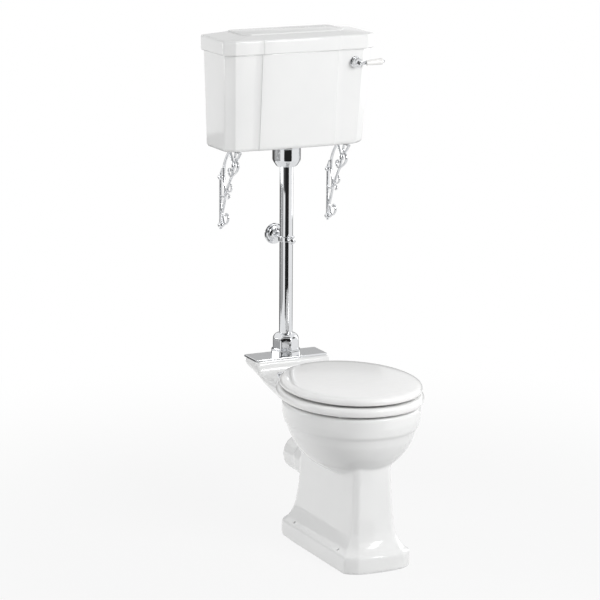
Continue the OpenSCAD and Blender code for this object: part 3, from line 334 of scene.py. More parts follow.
@dataclass(frozen=True)
class Lacquer:
    """The seat's hard white gloss, sprayed over a smooth core, with a faint spray texture."""

    name: str = "seat_gloss"
    body: Colour = (0.92, 0.92, 0.915, 1.0)
    worn: Colour = (0.9, 0.897, 0.89, 1.0)
    roughness: float = 0.16

    def material(self) -> bpy.types.Material:
        """Return the lacquer as a material."""
        paint = Paint(self.name)
        cloud = paint.noise(9.0, 3.0).ramp(0.35, 0.7)
        peel = paint.noise(260.0, 1.0)
        wipe = paint.noise(30.0, 4.0, 0.6, (1.0, 5.0, 1.0)).ramp(0.5, 0.75)
        return paint.finish(
            Base_Color=paint.blend(cloud * 0.5, self.body, self.worn),
            Roughness=self.roughness + wipe * 0.05 + cloud * 0.02,
            Coat_Weight=0.35 - wipe * 0.1,
            Coat_Roughness=0.06,
            Normal=paint.bump(peel, 0.00002),
        )


@dataclass(frozen=True)
class Plating:
    """Bright chrome plate with hairline polish marks and a little haze from handling."""

    name: str = "chrome_plate"
    body: Colour = (0.76, 0.77, 0.785, 1.0)
    haze: Colour = (0.62, 0.63, 0.65, 1.0)
    roughness: float = 0.045
    grain: Triple = (1.0, 1.0, 14.0)
    wear: float = 0.6

    def material(self) -> bpy.types.Material:
        """Return the plating as a material."""
        paint = Paint(self.name)
        cloud = paint.noise(24.0, 4.0, 0.6).ramp(0.45, 0.8)
        lines = paint.noise(700.0, 2.0, 0.5, self.grain)
        spots = paint.noise(160.0, 2.0).ramp(0.7, 0.8)
        return paint.finish(
            Base_Color=paint.blend(cloud * self.wear * 0.5 + spots * 0.2, self.body, self.haze),
            Metallic=1.0,
            Roughness=self.roughness + cloud * 0.05 * self.wear + spots * 0.06 + lines * 0.02,
            Normal=paint.bump(lines, 0.0000025),
        )


@dataclass(frozen=True)
class Moulded:
    """A moulded plastic or rubber with its tool texture and small shade changes."""

    name: str
    body: Colour
    shade: Colour
    roughness: float = 0.4
    texture: float = 0.00003
    coarse: float = 600.0

    def material(self) -> bpy.types.Material:
        """Return the moulding as a material."""
        paint = Paint(self.name)
        cloud = paint.noise(35.0, 3.0).ramp(0.3, 0.75)
        grit = paint.noise(self.coarse, 2.0)
        return paint.finish(
            Base_Color=paint.blend(cloud, self.body, self.shade),
            Roughness=self.roughness + grit * 0.1 - cloud * 0.05,
            Normal=paint.bump(grit, self.texture),
        )


@dataclass(frozen=True)
class TurnedBrass:
    """Plain turned brass with tool rings and a dull film."""

    name: str = "turned_brass"
    body: Colour = (0.78, 0.6, 0.27, 1.0)
    film: Colour = (0.42, 0.3, 0.14, 1.0)

    def material(self) -> bpy.types.Material:
        """Return the brass as a material."""
        paint = Paint(self.name)
        cloud = paint.noise(60.0, 4.0, 0.6).ramp(0.4, 0.75)
        rings = paint.noise(900.0, 1.0, 0.5, (8.0, 1.0, 1.0))
        return paint.finish(
            Base_Color=paint.blend(cloud * 0.6, self.body, self.film),
            Metallic=1.0,
            Roughness=0.25 + cloud * 0.2,
            Normal=paint.bump(rings, 0.000008),
        )


class Slot(Enum):
    """The record's material slots."""

    CERAMIC = "glazed_ceramic"
    GRIP = "grip_ceramic"
    SEAT = "seat_gloss"
    CHROME = "chrome"
    BUMPER = "bumper_rubber"
    SEAL = "seal_rubber"
    BRASS = "brass"
    PLASTIC = "white_plastic"
    FLOAT = "float_plastic"


class Finishes:
    """Every finish of the object, made once and handed out by slot."""

    def __init__(self) -> None:
        """Make the materials."""
        makers: dict[Slot, Any] = {
            Slot.CERAMIC: Glaze(),
            Slot.GRIP: Glaze("grip_china", (0.9, 0.895, 0.88, 1.0), (0.86, 0.85, 0.83, 1.0), 0.09, 0.0001),
            Slot.SEAT: Lacquer(),
            Slot.CHROME: Plating(),
            Slot.BUMPER: Moulded("bumper_rubber", (0.72, 0.72, 0.7, 1.0), (0.62, 0.62, 0.6, 1.0), 0.45),
            Slot.SEAL: Moulded(
                "seal_rubber", (0.03, 0.03, 0.03, 1.0), (0.05, 0.05, 0.048, 1.0), 0.6, 0.00006
            ),
            Slot.BRASS: TurnedBrass(),
            Slot.PLASTIC: Moulded("white_plastic", (0.82, 0.82, 0.8, 1.0), (0.78, 0.78, 0.75, 1.0), 0.3),
            Slot.FLOAT: Moulded("float_plastic", (0.72, 0.16, 0.03, 1.0), (0.62, 0.13, 0.03, 1.0), 0.45),
        }
        self.made = {slot: maker.material() for slot, maker in makers.items()}
        self.cast = Plating("cast_chrome", roughness=0.09, grain=(1.0, 1.0, 1.0), wear=1.0).material()

    def of(self, slot: Slot) -> bpy.types.Material:
        """Return the material of a slot."""
        return self.made[slot]


def rounded(path: Points, closed: bool = True, steps: int = 6) -> np.ndarray:
    """Round the corners of a path of points that each carry a radius.

    Args:
        path: Points (x, y, radius), or (x, y) for a sharp corner.
        closed: Whether the last point joins the first.
        steps: Pieces in each arc.

    Returns:
        The rounded path as an array of x and y.
    """
    points = [np.array(p[:2], float) for p in path]
    radii = [float(p[2]) if len(p) > 2 else 0.0 for p in path]
    count, out = len(points), []
    for i in range(count):
        here = points[i]
        if radii[i] <= 0 or (not closed and i in (0, count - 1)):
            out.append(here)
            continue
        back, ahead = points[i - 1] - here, points[(i + 1) % count] - here
        lb, la = np.linalg.norm(back), np.linalg.norm(ahead)
        back, ahead = back / lb, ahead / la
        half = math.acos(max(-1.0, min(1.0, float(back @ ahead)))) / 2
        if half > STRAIGHT:
            out.append(here)
            continue
        reach = min(radii[i] / math.tan(half), SIDE_SHARE * lb, SIDE_SHARE * la)
        radius = reach * math.tan(half)
        middle = back + ahead
        centre = here + middle / np.linalg.norm(middle) * (radius / math.sin(half))
        a, b = here + back * reach - centre, here + ahead * reach - centre
        turn = math.atan2(a[0] * b[1] - a[1] * b[0], float(a @ b))
        for k in range(steps + 1):
            t = turn * k / steps
            c, s = math.cos(t), math.sin(t)
            out.append(centre + np.array([a[0] * c - a[1] * s, a[0] * s + a[1] * c]))
    return np.array(out)


def eased(table: Points, steps: int) -> np.ndarray:
    """Fill in a table of numbers smoothly, without overshoot.

    Args:
        table: Rows whose first number always grows.
        steps: Rows to make between one row and the next.

    Returns:
        The longer table.
    """
    rows = np.array(table, float)
    x, y = rows[:, 0], rows[:, 1:]
    gap = np.diff(x)[:, None]
    slope = np.diff(y, axis=0) / gap
    tangent = np.zeros_like(y)
    tangent[0], tangent[-1] = slope[0], slope[-1]
    product = slope[:-1] * slope[1:]
    with np.errstate(divide="ignore", invalid="ignore"):
        mean = 2 * product / (slope[:-1] + slope[1:])
    tangent[1:-1] = np.where(product > 0, mean, 0.0)
    out = []
    for i in range(len(x) - 1):
        for k in range(steps):
            t = k / steps
            t2, t3 = t * t, t * t * t
            value = (
                (2 * t3 - 3 * t2 + 1) * y[i]
                + (t3 - 2 * t2 + t) * gap[i] * tangent[i]
                + (3 * t2 - 2 * t3) * y[i + 1]
                + (t3 - t2) * gap[i] * tangent[i + 1]
            )
            out.append(np.concatenate([[x[i] + t * (x[i + 1] - x[i])], value]))
    out.append(rows[-1])
    return np.array(out)


def flowing(points: Points, steps: int = 8) -> np.ndarray:
    """Run a smooth line through given points.

    Args:
        points: Points of any one dimension.
        steps: Pieces between one point and the next.

    Returns:
        The points of the line.
    """
    p = np.array(points, float)
    p = np.vstack([2 * p[0] - p[1], p, 2 * p[-1] - p[-2]])
    out = []
    for i in range(1, len(p) - 2):
        a, b, c, d = p[i - 1 : i + 3]
        for k in range(steps):
            t = k / steps
            second, third = 2 * a - 5 * b + 4 * c - d, 3 * b - a - 3 * c + d
            out.append(0.5 * (2 * b + (c - a) * t + second * t**2 + third * t**3))
    out.append(p[-2])
    return np.array(out)


@dataclass
class Shape:
    """Points in millimetres and the faces on them."""

    points: np.ndarray
    faces: list[tuple[int, ...]]

    @staticmethod
    def joined(shapes: Iterable["Shape"]) -> "Shape":
        """Put several shapes together.

        Args:
            shapes: The shapes.

        Returns:
            One shape with all their points and faces.
        """
        points, faces, start = [], [], 0
        for shape in shapes:
            points.append(shape.points)
            faces += [tuple(i + start for i in f) for f in shape.faces]
            start += len(shape.points)
        return Shape(np.vstack(points), faces)

    def moved(self, x: float = 0.0, y: float = 0.0, z: float = 0.0) -> "Shape":
        """Return the shape moved by x, y and z."""
        return Shape(self.points + np.array([x, y, z]), self.faces)

    def turned(self, matrix: Matrix) -> "Shape":
        """Return the shape turned by a rotation matrix."""
        return Shape(self.points @ np.array(matrix.to_3x3()).T, self.faces)


def loft(rings: Sequence[np.ndarray], loop: bool = False) -> Shape:
    """Skin a row of rings that have equal counts.

    Args:
        rings: Arrays of points, counterclockwise seen from the last ring's side.
        loop: Whether the last ring joins the first, in place of two end faces.

    Returns:
        The closed shape.
    """
    m, n = len(rings), len(rings[0])
    faces: list[tuple[int, ...]] = []
    for j in range(m if loop else m - 1):
        q = (j + 1) % m
        for i in range(n):
            k = (i + 1) % n
            faces.append((j * n + i, j * n + k, q * n + k, q * n + i))
    if not loop:
        faces.append(tuple(range(n))[::-1])
        faces.append(tuple((m - 1) * n + i for i in range(n)))
    return Shape(np.vstack(rings), faces)


def slab(outline: np.ndarray, low: float, high: float) -> Shape:
    """Return a flat outline made solid between two heights."""
    return loft([lifted(outline, low), lifted(outline, high)])


def lathe(profile: np.ndarray, sides: int) -> Shape:
    """Turn a closed profile of radius and height about Z.

    Args:
        profile: Points (r, z), with r 0 where the axis is met.
        sides: Facets round the axis.

    Returns:
        The turned shape, with its poles closed.
    """
    rings = []
    for k in range(sides):
        t = 2 * math.pi * k / sides
        rings.append(np.array([[r * math.cos(t), r * math.sin(t), z] for r, z in profile]))
    return loft(rings, loop=True)


def lifted(outline: np.ndarray, z: float) -> np.ndarray:
    """Return a flat outline as points at height z."""
    return np.column_stack([outline, np.full(len(outline), z)])


def spun(path: Points, sides: int, steps: int = 4, closed: bool = False) -> Shape:
    """Round a profile and turn it about the line that leaves the wall.

    Args:
        path: Points (radius, distance from the wall, corner radius).
        sides: Facets round the line.
        steps: Pieces in each arc.
        closed: Whether the last point joins the first.

    Returns:
        The turned shape.
    """
    return lathe(rounded(path, closed, steps), sides).turned(TO_FRONT)


def superoval(
    w: float, front: float, rear: float, nf: float = 2.1, nr: float = 2.2
) -> np.ndarray:
    """Return an oval whose front and rear halves have their own reach and squareness.

    Args:
        w: Half width.
        front: Reach in front of the origin.
        rear: Reach behind it.
        nf: Squareness of the front half, where 2 is an ellipse.
        nr: Squareness of the rear half.

    Returns:
        The outline, counterclockwise from above and widest at OVAL_Y.
    """
    t = np.linspace(0, 2 * np.pi, OVAL_POINTS, endpoint=False)
    c, s = np.cos(t), np.sin(t)
    e = np.where(s >= 0, 2 / nr, 2 / nf)
    reach = np.where(s >= 0, rear - OVAL_Y, front + OVAL_Y)
    across, along = np.sign(c) * np.abs(c) ** e, np.sign(s) * np.abs(s) ** e
    return np.column_stack([w * across, OVAL_Y + reach * along])


def near(value: float, middle: float, spread: float) -> float:
    """Return a weight that is 1 at middle and fades over spread."""
    return math.exp(-(((value - middle) / spread) ** 2))


def linked(name: str, data: Any) -> bpy.types.Object:
    """Make an object and link it to the scene.

    Args:
        name: The object's name.
        data: Its mesh, lamp or camera.

    Returns:
        The object.
    """
    obj = bpy.data.objects.new(name, data)
    bpy.context.scene.collection.objects.link(obj)
    return obj


def build(name: str, shape: Shape, material: bpy.types.Material, sharp: float = 40.0) -> bpy.types.Object:
    """Make an object from a shape, in metres and in place.

    Args:
        name: The piece's name.
        shape: Its points in millimetres.
        material: Its finish.
        sharp: Edges that turn by more than this many degrees stay crisp.

    Returns:
        The linked object.
    """
    mesh = bpy.data.meshes.new(name)
    mesh.from_pydata((shape.points * MM).tolist(), [], shape.faces)
    obj = linked(name, mesh)
    clean(obj, sharp)
    mesh.materials.append(material)
    return obj


def clean(obj: bpy.types.Object, sharp: float) -> None:
    """Merge doubled points, point the faces outwards and smooth all but the crisp edges.

    Args:
        obj: The object.
        sharp: Edges that turn by more than this many degrees stay crisp.
    """
    mesh = obj.data
    bm = bmesh.new()
    bm.from_mesh(mesh)
    bmesh.ops.remove_doubles(bm, verts=bm.verts, dist=WELD)
    bmesh.ops.dissolve_degenerate(bm, edges=bm.edges, dist=THIN)
    bmesh.ops.recalc_face_normals(bm, faces=bm.faces)
    bm.to_mesh(mesh)
    bm.free()
    mesh.polygons.foreach_set("use_smooth", [True] * len(mesh.polygons))
    mesh.set_sharp_from_angle(angle=math.radians(sharp))
    mesh.update()


def baked(obj: bpy.types.Object) -> None:
    """Turn an object's modifiers into its own mesh.

    Args:
        obj: The object.
    """
    ready = obj.evaluated_get(bpy.context.evaluated_depsgraph_get())
    mesh = bpy.data.meshes.new_from_object(ready)
    obj.modifiers.clear()
    obj.data = mesh


def carve(obj: bpy.types.Object, cutter: Shape, operation: str = "DIFFERENCE") -> None:
    """Cut a shape from an object, or join it on.

    Args:
        obj: The object that is changed.
        cutter: The shape, in millimetres.
        operation: DIFFERENCE or UNION.
    """
    tool = build("tool", cutter, obj.data.materials[0])
    change = obj.modifiers.new("cut", "BOOLEAN")
    change.operation = operation
    change.solver = "MANIFOLD"
    change.object = tool
    baked(obj)
    bpy.data.objects.remove(tool)


def rod(a: Sequence[float], b: Sequence[float], r: float, sides: int = 48) -> Shape:
    """Make a plain round bar.

    Args:
        a: Where it starts.
        b: Where it ends.
        r: Its radius.
        sides: Facets round it.

    Returns:
        The bar.
    """
    start, end = Vector(a), Vector(b)
    way = end - start
    ring = lathe(np.array([[0, 0], [r, 0], [r, way.length], [0, way.length]]), sides)
    return ring.turned(way.to_track_quat("Z", "Y").to_matrix()).moved(*start)


def ball(r: float) -> Shape:
    """Return a sphere about the origin."""
    arc = np.linspace(-np.pi / 2, np.pi / 2, 25)
    return lathe(np.column_stack([r * np.cos(arc), r * np.sin(arc)]), 48)


class Rule(Tree):
    """A Geometry Nodes tree that makes a piece from a rule and named sizes."""

    KINDS = {
        float: "NodeSocketFloat",
        int: "NodeSocketInt",
        tuple: "NodeSocketVector",
        bpy.types.Material: "NodeSocketMaterial",
        bpy.types.Object: "NodeSocketObject",
    }

    def __init__(self, name: str, sizes: dict[str, Any]) -> None:
        """Make the tree and its named inputs.

        Args:
            name: The tree's name.
            sizes: The inputs' names and values, in metres.
        """
        super().__init__(bpy.data.node_groups.new(name, "GeometryNodeTree"))
        face = self.tree.interface
        face.new_socket("Geometry", in_out="INPUT", socket_type="NodeSocketGeometry")
        face.new_socket("Geometry", in_out="OUTPUT", socket_type="NodeSocketGeometry")
        self.keys = {}
        for key, value in sizes.items():
            kind = next(k for t, k in self.KINDS.items() if isinstance(value, t))
            self.keys[key] = face.new_socket(key, in_out="INPUT", socket_type=kind).identifier
        self.sizes = sizes
        self.entry = self.tree.nodes.new("NodeGroupInput")

    def given(self, name: str = "Geometry") -> Sock:
        """Return one of the tree's inputs."""
        return Sock(self.tree, self.entry.outputs[name])

    def end(self, geometry: Sock) -> None:
        """Realise the instances, dress them and leave the tree.

        Args:
            geometry: What the tree has made.
        """
        solid = self.node("GeometryNodeRealizeInstances", inputs={0: geometry})
        smooth = self.node("GeometryNodeSetShadeSmooth", inputs={0: solid})
        values = {0: smooth, "Material": self.given("Material")}
        self.node("NodeGroupOutput", inputs={0: self.node("GeometryNodeSetMaterial", inputs=values)})

    def noted(self, name: str) -> Sock:
        """Return a number that each point carries under a name."""
        return self.node("GeometryNodeInputNamedAttribute", {"data_type": "FLOAT"}, {"Name": name})

    def held(self, name: str) -> Sock:
        """Return the geometry of the object that is given under a name."""
        values = {"Object": self.given(name)}
        return self.node("GeometryNodeObjectInfo", inputs=values, output="Geometry")

    def apply(self, obj: bpy.types.Object, material: bpy.types.Material, sharp: float = 40.0) -> None:
        """Run the tree on an object and keep the result as its mesh.

        Args:
            obj: The object that holds the tree's first geometry.
            material: The piece's finish.
            sharp: Edges that turn by more than this many degrees stay crisp.
        """
        change = obj.modifiers.new("rule", "NODES")
        change.node_group = self.tree
        for key, value in self.sizes.items():
            change[self.keys[key]] = value
        baked(obj)
        obj.data.name = obj.name
        if not obj.data.materials:
            obj.data.materials.append(material)
        clean(obj, sharp)


def repeated(
    name: str,
    shape: Shape,
    material: bpy.types.Material,
    first: tuple[int, Triple],
    second: tuple[int, Triple],
) -> bpy.types.Object:
    """Repeat a shape along two straight steps.

    Args:
        name: The piece's name.
        shape: The first copy, in place.
        material: Its finish.
        first: How many copies, and the step between them in metres.
        second: The same for rows of the first.

    Returns:
        The object that holds all the copies.
    """
    obj = build(name, shape, material)
    sizes = dict(zip(("Count", "Step", "Rows", "Row Step"), first + second))
    rule = Rule("repeat_" + name, sizes | {"Material": material})
    copies = rule.given()
    for count, step in (("Count", "Step"), ("Rows", "Row Step")):
        values = {"Count": rule.given(count), "Offset": rule.given(step)}
        line = rule.node("GeometryNodeMeshLine", {"mode": "OFFSET"}, values)
        values = {"Points": line, "Instance": copies}
        placed = rule.node("GeometryNodeInstanceOnPoints", inputs=values)
        copies = rule.node("GeometryNodeRealizeInstances", inputs={0: placed})
    rule.end(copies)
    rule.apply(obj, material)
    return obj


def scattered(
    name: str,
    template: Shape,
    material: bpy.types.Material,
    spots: Points,
) -> bpy.types.Object:
    """Set copies of a shape, made about the origin, at given spots.

    Args:
        name: The piece's name.
        template: The shape.
        material: Its finish.
        spots: Rows of x, y, z in millimetres and the turn about Z in radians.

    Returns:
        The object that holds all the copies.
    """
    pattern = build(name + "_pattern", template, material)
    mesh = bpy.data.meshes.new(name)
    mesh.from_pydata([[v * MM for v in s[:3]] for s in spots], [], [])
    turns = mesh.attributes.new("turn", "FLOAT", "POINT")
    turns.data.foreach_set("value", [float(s[3]) for s in spots])
    obj = linked(name, mesh)
    rule = Rule("place_" + name, {"Pattern": pattern, "Material": material})
    values = {
        "Points": rule.node("GeometryNodeMeshToPoints", inputs={0: rule.given()}),
        "Instance": rule.held("Pattern"),
        "Rotation": rule.node("ShaderNodeCombineXYZ", inputs={"Z": rule.noted("turn")}),
    }
    rule.end(rule.node("GeometryNodeInstanceOnPoints", inputs=values))
    rule.apply(obj, material)
    bpy.data.objects.remove(pattern)
    return obj


class Body(Enum):
    """The record's moving bodies."""

    ROOT = "root"
    RING = "seat_ring_swing"
    LID = "seat_lid_swing"
    COVER = "cistern_cover"
    LEVER = "lever"


def settle(obj: bpy.types.Object, body: Body, slot: Slot, *nodes: str) -> None:
    """Let a finished piece ride on its body in place of its nodes.

    Args:
        obj: The piece.
        body: The body that carries it.
        slot: Not used.
        nodes: The nodes that it stands for.
    """
    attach(obj, body.value)
    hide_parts(*nodes)
    LOG.info("%s rides on %s: %d faces", obj.name, body.value, len(obj.data.polygons))


def round_rect(x0: float, x1: float, y0: float, y1: float, r: float, steps: int = 6) -> np.ndarray:
    """Return a rectangle with one radius at its corners, counterclockwise."""
    return rounded([(x0, y0, r), (x1, y0, r), (x1, y1, r), (x0, y1, r)], steps=steps)


@dataclass
class Pan:
    """The glazed casting: bowl, pedestal, stepped foot, rear shelf and outlet."""

    rim_w: float = 181.0
    rim_front: float = 220.0
    rim_rear: float = 205.0
    foot_w: float = 100.0
    foot_l: float = 222.0
    column_w: float = 59.0
    column_front: float = 173.0
    outlet_z: float = 208.0
    outlet_r: float = 52.0
    outlet_y: float = 293.0
    collar_y: float = 217.0
    trap_r: float = 32.0
    duct_z: float = 394.0
    duct_r: float = 36.0
    duct_bore: float = 23.5
    horn_r: float = 41.0
    horn_bore: float = 27.5
    floor_screw: Pair = (90.0, 135.0)
    floor_screw_r: float = 4.0
    hinge: Pair = (78.0, 228.0)
    # Foot, head and radius of each bore for a hinge bolt.
    hinge_bores: Rows = ((380, 450, 6), (340, 400, 18))
    # The column's bevel, rear corner and bow, and what each gains down to the foot.
    growth: Rows = ((13, 18), (20, 10), (2, 5))
    # Where the skin is softened most, and over what spread: the neck's height, the joint's depth.
    neck: Pair = (262.0, 30.0)
    joint: Pair = (190.0, 45.0)
    belly_z: float = 425.0
    voxel: float = 0.0037
    fillet_steps: int = 20
    # Depth under the rim, and the shares of half width and of reach in front and behind.
    bowl_rows: Rows = (
        (0, 0.975, 0.975, 0.975), (1.2, 0.989, 0.989, 0.989), (4, 1, 1, 1), (28, 1, 1, 1),
        (47, 0.987, 0.987, 0.982), (53.5, 0.978, 0.98, 0.97), (56, 0.973, 0.975, 0.963),
        (59.5, 0.953, 0.956, 0.943), (88, 0.9, 0.915, 0.885), (122, 0.805, 0.83, 0.77),
        (142, 0.72, 0.755, 0.69), (158, 0.63, 0.68, 0.6), (172, 0.52, 0.58, 0.5),
        (183, 0.42, 0.5, 0.4), (196, 0.26, 0.38, 0.25),
    )
    # Depth under the rim, half width, and reach in front and behind.
    hollow_rows: Rows = (
        (-9, 135, 200, 126), (0, 133, 198, 124), (5, 129, 194, 120), (28, 128, 192, 118),
        (33, 130, 194, 120), (36, 143, 210, 133), (76, 139, 203, 130), (114, 126, 180, 116),
        (148, 100, 146, 98), (178, 70, 100, 78), (204, 40, 58, 22),
    )
    # Height, share of the foot's size, and reach behind.
    column_rows: Rows = (
        (0, 1, 222), (39, 1, 222), (43.5, 0.985, 221), (47, 0.93, 219), (52, 0.76, 214),
        (59, 0.61, 209), (68, 0.47, 205), (81, 0.33, 201), (100, 0.2, 196), (150, 0.07, 187),
        (215, -0.01, 181), (262, -0.05, 177), (298, -0.2, 146),
    )
    # Distance from the wall, half width, top, underside and depth of the belly.
    arm_rows: Rows = (
        (48, 110, 466, 454, 1), (49.5, 112, 467, 452, 1.5), (54, 113, 467, 448, 3),
        (60, 113, 467, 446, 4),
        (90, 113, 467, 441, 18), (130, 113, 467, 433.5, 43), (134, 112.6, 465.5, 432.3, 45.5),
        (135.5, 112.3, 462, 432, 46), (137, 112.2, 452, 431.6, 47), (141, 112.5, 441.5, 430.5, 49),
        (150, 113, 436, 428, 52), (165, 113, 434, 424, 54), (235, 114, 434, 410, 50),
        (270, 115, 434, 404, 46), (300, 116, 434, 400, 42), (325, 118, 434, 396, 38),
        (350, 123, 434, 392, 34),
    )

    def bowl(self) -> Shape:
        """Return the outside of the bowl, from its foot up to the rim."""
        rings = []
        for h, w, f, r in eased(self.bowl_rows, 5)[::-1]:
            front, rear = self.rim_front * f - OVAL_Y, self.rim_rear * r + OVAL_Y
            rings.append(lifted(superoval(self.rim_w * w, front, rear, 2.1, 2.0), RIM_Z - h))
        return loft(rings)

    def hollow(self) -> Shape:
        """Return the inside of the bowl with its flushing ledge."""
        rows = eased(self.hollow_rows, 4)[::-1]
        return loft([lifted(superoval(w, f, r, 2.2, 2.2), RIM_Z - h) for h, w, f, r in rows])

    def column_ring(
        self, w: float, front: float, rear: float, c: float, r: float, bow: float
    ) -> np.ndarray:
        """Return a section with bevelled front corners, round rear corners and a bowed front.

        Args:
            w: Half width.
            front: Reach in front of the origin.
            rear: Reach behind it.
            c: Size of the bevels.
            r: Radius of the rear corners.
            bow: How much the front bows.

        Returns:
            The outline, counterclockwise from above.
        """
        s = np.linspace(0, 1, 9)
        swell = 0.8 * np.sin(np.pi * s)
        x = np.linspace(-w + c, w - c, 17)[1:-1]
        arc = np.radians(np.linspace(0, 90, 9))
        left = np.column_stack([-w + c * s - swell, -front + c * (1 - s) + bow * s - swell])
        middle = np.column_stack([x, -front + bow * (x / (w - c)) ** 2])
        right = np.column_stack([w - c + c * s + swell, -front + c * s + bow * (1 - s) - swell])
        back = np.column_stack([w - r + r * np.cos(arc), rear - r + r * np.sin(arc)])
        return np.vstack([left, middle, right, back, back[::-1] * (-1, 1)])

    def column(self) -> Shape:
        """Return the pedestal with its flaring, stepped foot."""
        rings = []
        for z, s, rear in eased(self.column_rows, 5):
            w = self.column_w + (self.foot_w - self.column_w) * s
            front = self.column_front + (self.foot_l - self.column_front) * s
            bevel, corner, bow = (start + more * s for start, more in self.growth)
            rings.append(lifted(self.column_ring(w, front, rear, bevel, corner, bow), z))
        return loft(rings)

    def arm(self) -> Shape:
        """Return the arm that carries the shelf, flat on top with a deep belly."""
        rings = []
        t = np.linspace(-0.92, 0.92, 24)
        for d, w, top, under, belly in eased(self.arm_rows, 4):
            low = np.column_stack([w * t, under - belly * (1 - np.abs(t) ** 2.5)])
            path = [(w - 1.5, under + 0.6), (w, under + 4), (w, top, 6), (0, top)]
            up = rounded(path, closed=False)[:-1]
            ring = np.vstack([low, up, up[::-1] * (-1, 1)])
            rings.append(np.column_stack([ring[:, 0], np.full(len(ring), WALL_Y - d), ring[:, 1]]))
        return loft(rings)

    def trap(self) -> Shape:
        """Return the passage from the bowl over the weir to the outlet."""
        z = self.outlet_z
        spots = [(-20, 232), (-16, 162), (30, 128), (76, 162), (120, 248), (178, 214), (200, z), (262, z)]
        way = flowing([(0, *spot) for spot in spots], 6)
        rings = []
        for i, p in enumerate(way):
            along = way[min(i + 1, len(way) - 1)] - way[max(i - 1, 0)]
            up = np.cross([1, 0, 0], along / np.linalg.norm(along))
            t = np.linspace(0, 2 * np.pi, 40, endpoint=False)[:, None]
            rings.append(p + self.trap_r * (np.cos(t) * np.array([1, 0, 0]) + np.sin(t) * up))
        return loft(rings)

    def make(self, paint: Finishes) -> None:
        """Blend the casting's parts into one skin, then cut its passages and holes.

        Args:
            paint: The finishes.
        """
        duct, out = self.duct_z, self.outlet_z
        obj = build("pan_casting", self.bowl(), paint.of(Slot.CERAMIC))
        solids = [
            self.column(),
            self.arm(),
            rod((0, PIPE_Y, duct - 30), (0, PIPE_Y, SHELF_Z - 1), self.horn_r),
            rod((0, 124, duct), (0, PIPE_Y, duct), self.duct_r),
            rod((0, 90, out), (0, self.collar_y, out), self.outlet_r + 4),
            rod((0, 100, out), (0, self.outlet_y - 0.5, out), self.outlet_r),
            ball(self.trap_r + 13).moved(0, 122, 244),
        ]
        for solid in solids:
            carve(obj, solid, "UNION")
        carve(obj, self.hollow())
        self.blend(obj)
        carve(obj, self.trap())
        foot = round_rect(-self.foot_w + 32, self.foot_w - 32, -self.foot_l + 32, self.foot_l - 40, 20)
        cuts = [
            slab(foot, -2, 68),
            rod((0, 230, out), (0, 400, out), self.outlet_r - 9),
            rod((0, PIPE_Y, duct - 18), (0, PIPE_Y, SHELF_Z + 13), self.horn_bore),
            rod((0, 100, duct), (0, PIPE_Y, duct), self.duct_bore),
            slab(round_rect(-200, 200, -300, 500, 5), -20, 0),
        ]
        x, y = self.hinge
        for low, high, r in self.hinge_bores:
            cuts += [rod((s * x, y, low), (s * x, y, high), r) for s in (-1, 1)]
        x, y = self.floor_screw
        for a in (-x, x):
            cuts += [rod((a, b, -5), (a, b, 110), self.floor_screw_r, 32) for b in (-y, y)]
        for cut in cuts:
            carve(obj, cut)
        clean(obj, SHARP_CHINA + 2)
        settle(obj, Body.ROOT, Slot.CERAMIC, "pan_bowl", "pan_shelf", "pan_pedestal", "pan_outlet")

    def blend(self, obj: bpy.types.Object) -> None:
        """Fuse the skin on a fine grid and soften it as clay and glaze are.

        Args:
            obj: The casting.
        """
        change = obj.modifiers.new("skin", "REMESH")
        change.mode = "VOXEL"
        change.voxel_size = self.voxel
        baked(obj)
        soft = obj.modifiers.new("soft", "SMOOTH")
        soft.factor, soft.iterations = 0.5, 3
        baked(obj)
        group = obj.vertex_groups.new(name="joints")
        for vertex in obj.data.vertices:
            _, py, pz = (v / MM for v in vertex.co)
            neck = near(pz, *self.neck) if py < self.joint[0] else 0.0
            under = near(py, *self.joint) * (pz < self.belly_z)
            if max(neck, under) > 0.05:
                group.add([vertex.index], max(neck, under), "REPLACE")
        soft = obj.modifiers.new("fillets", "SMOOTH")
        soft.factor, soft.iterations, soft.vertex_group = 0.5, self.fillet_steps, group.name
        baked(obj)
        obj.vertex_groups.clear()


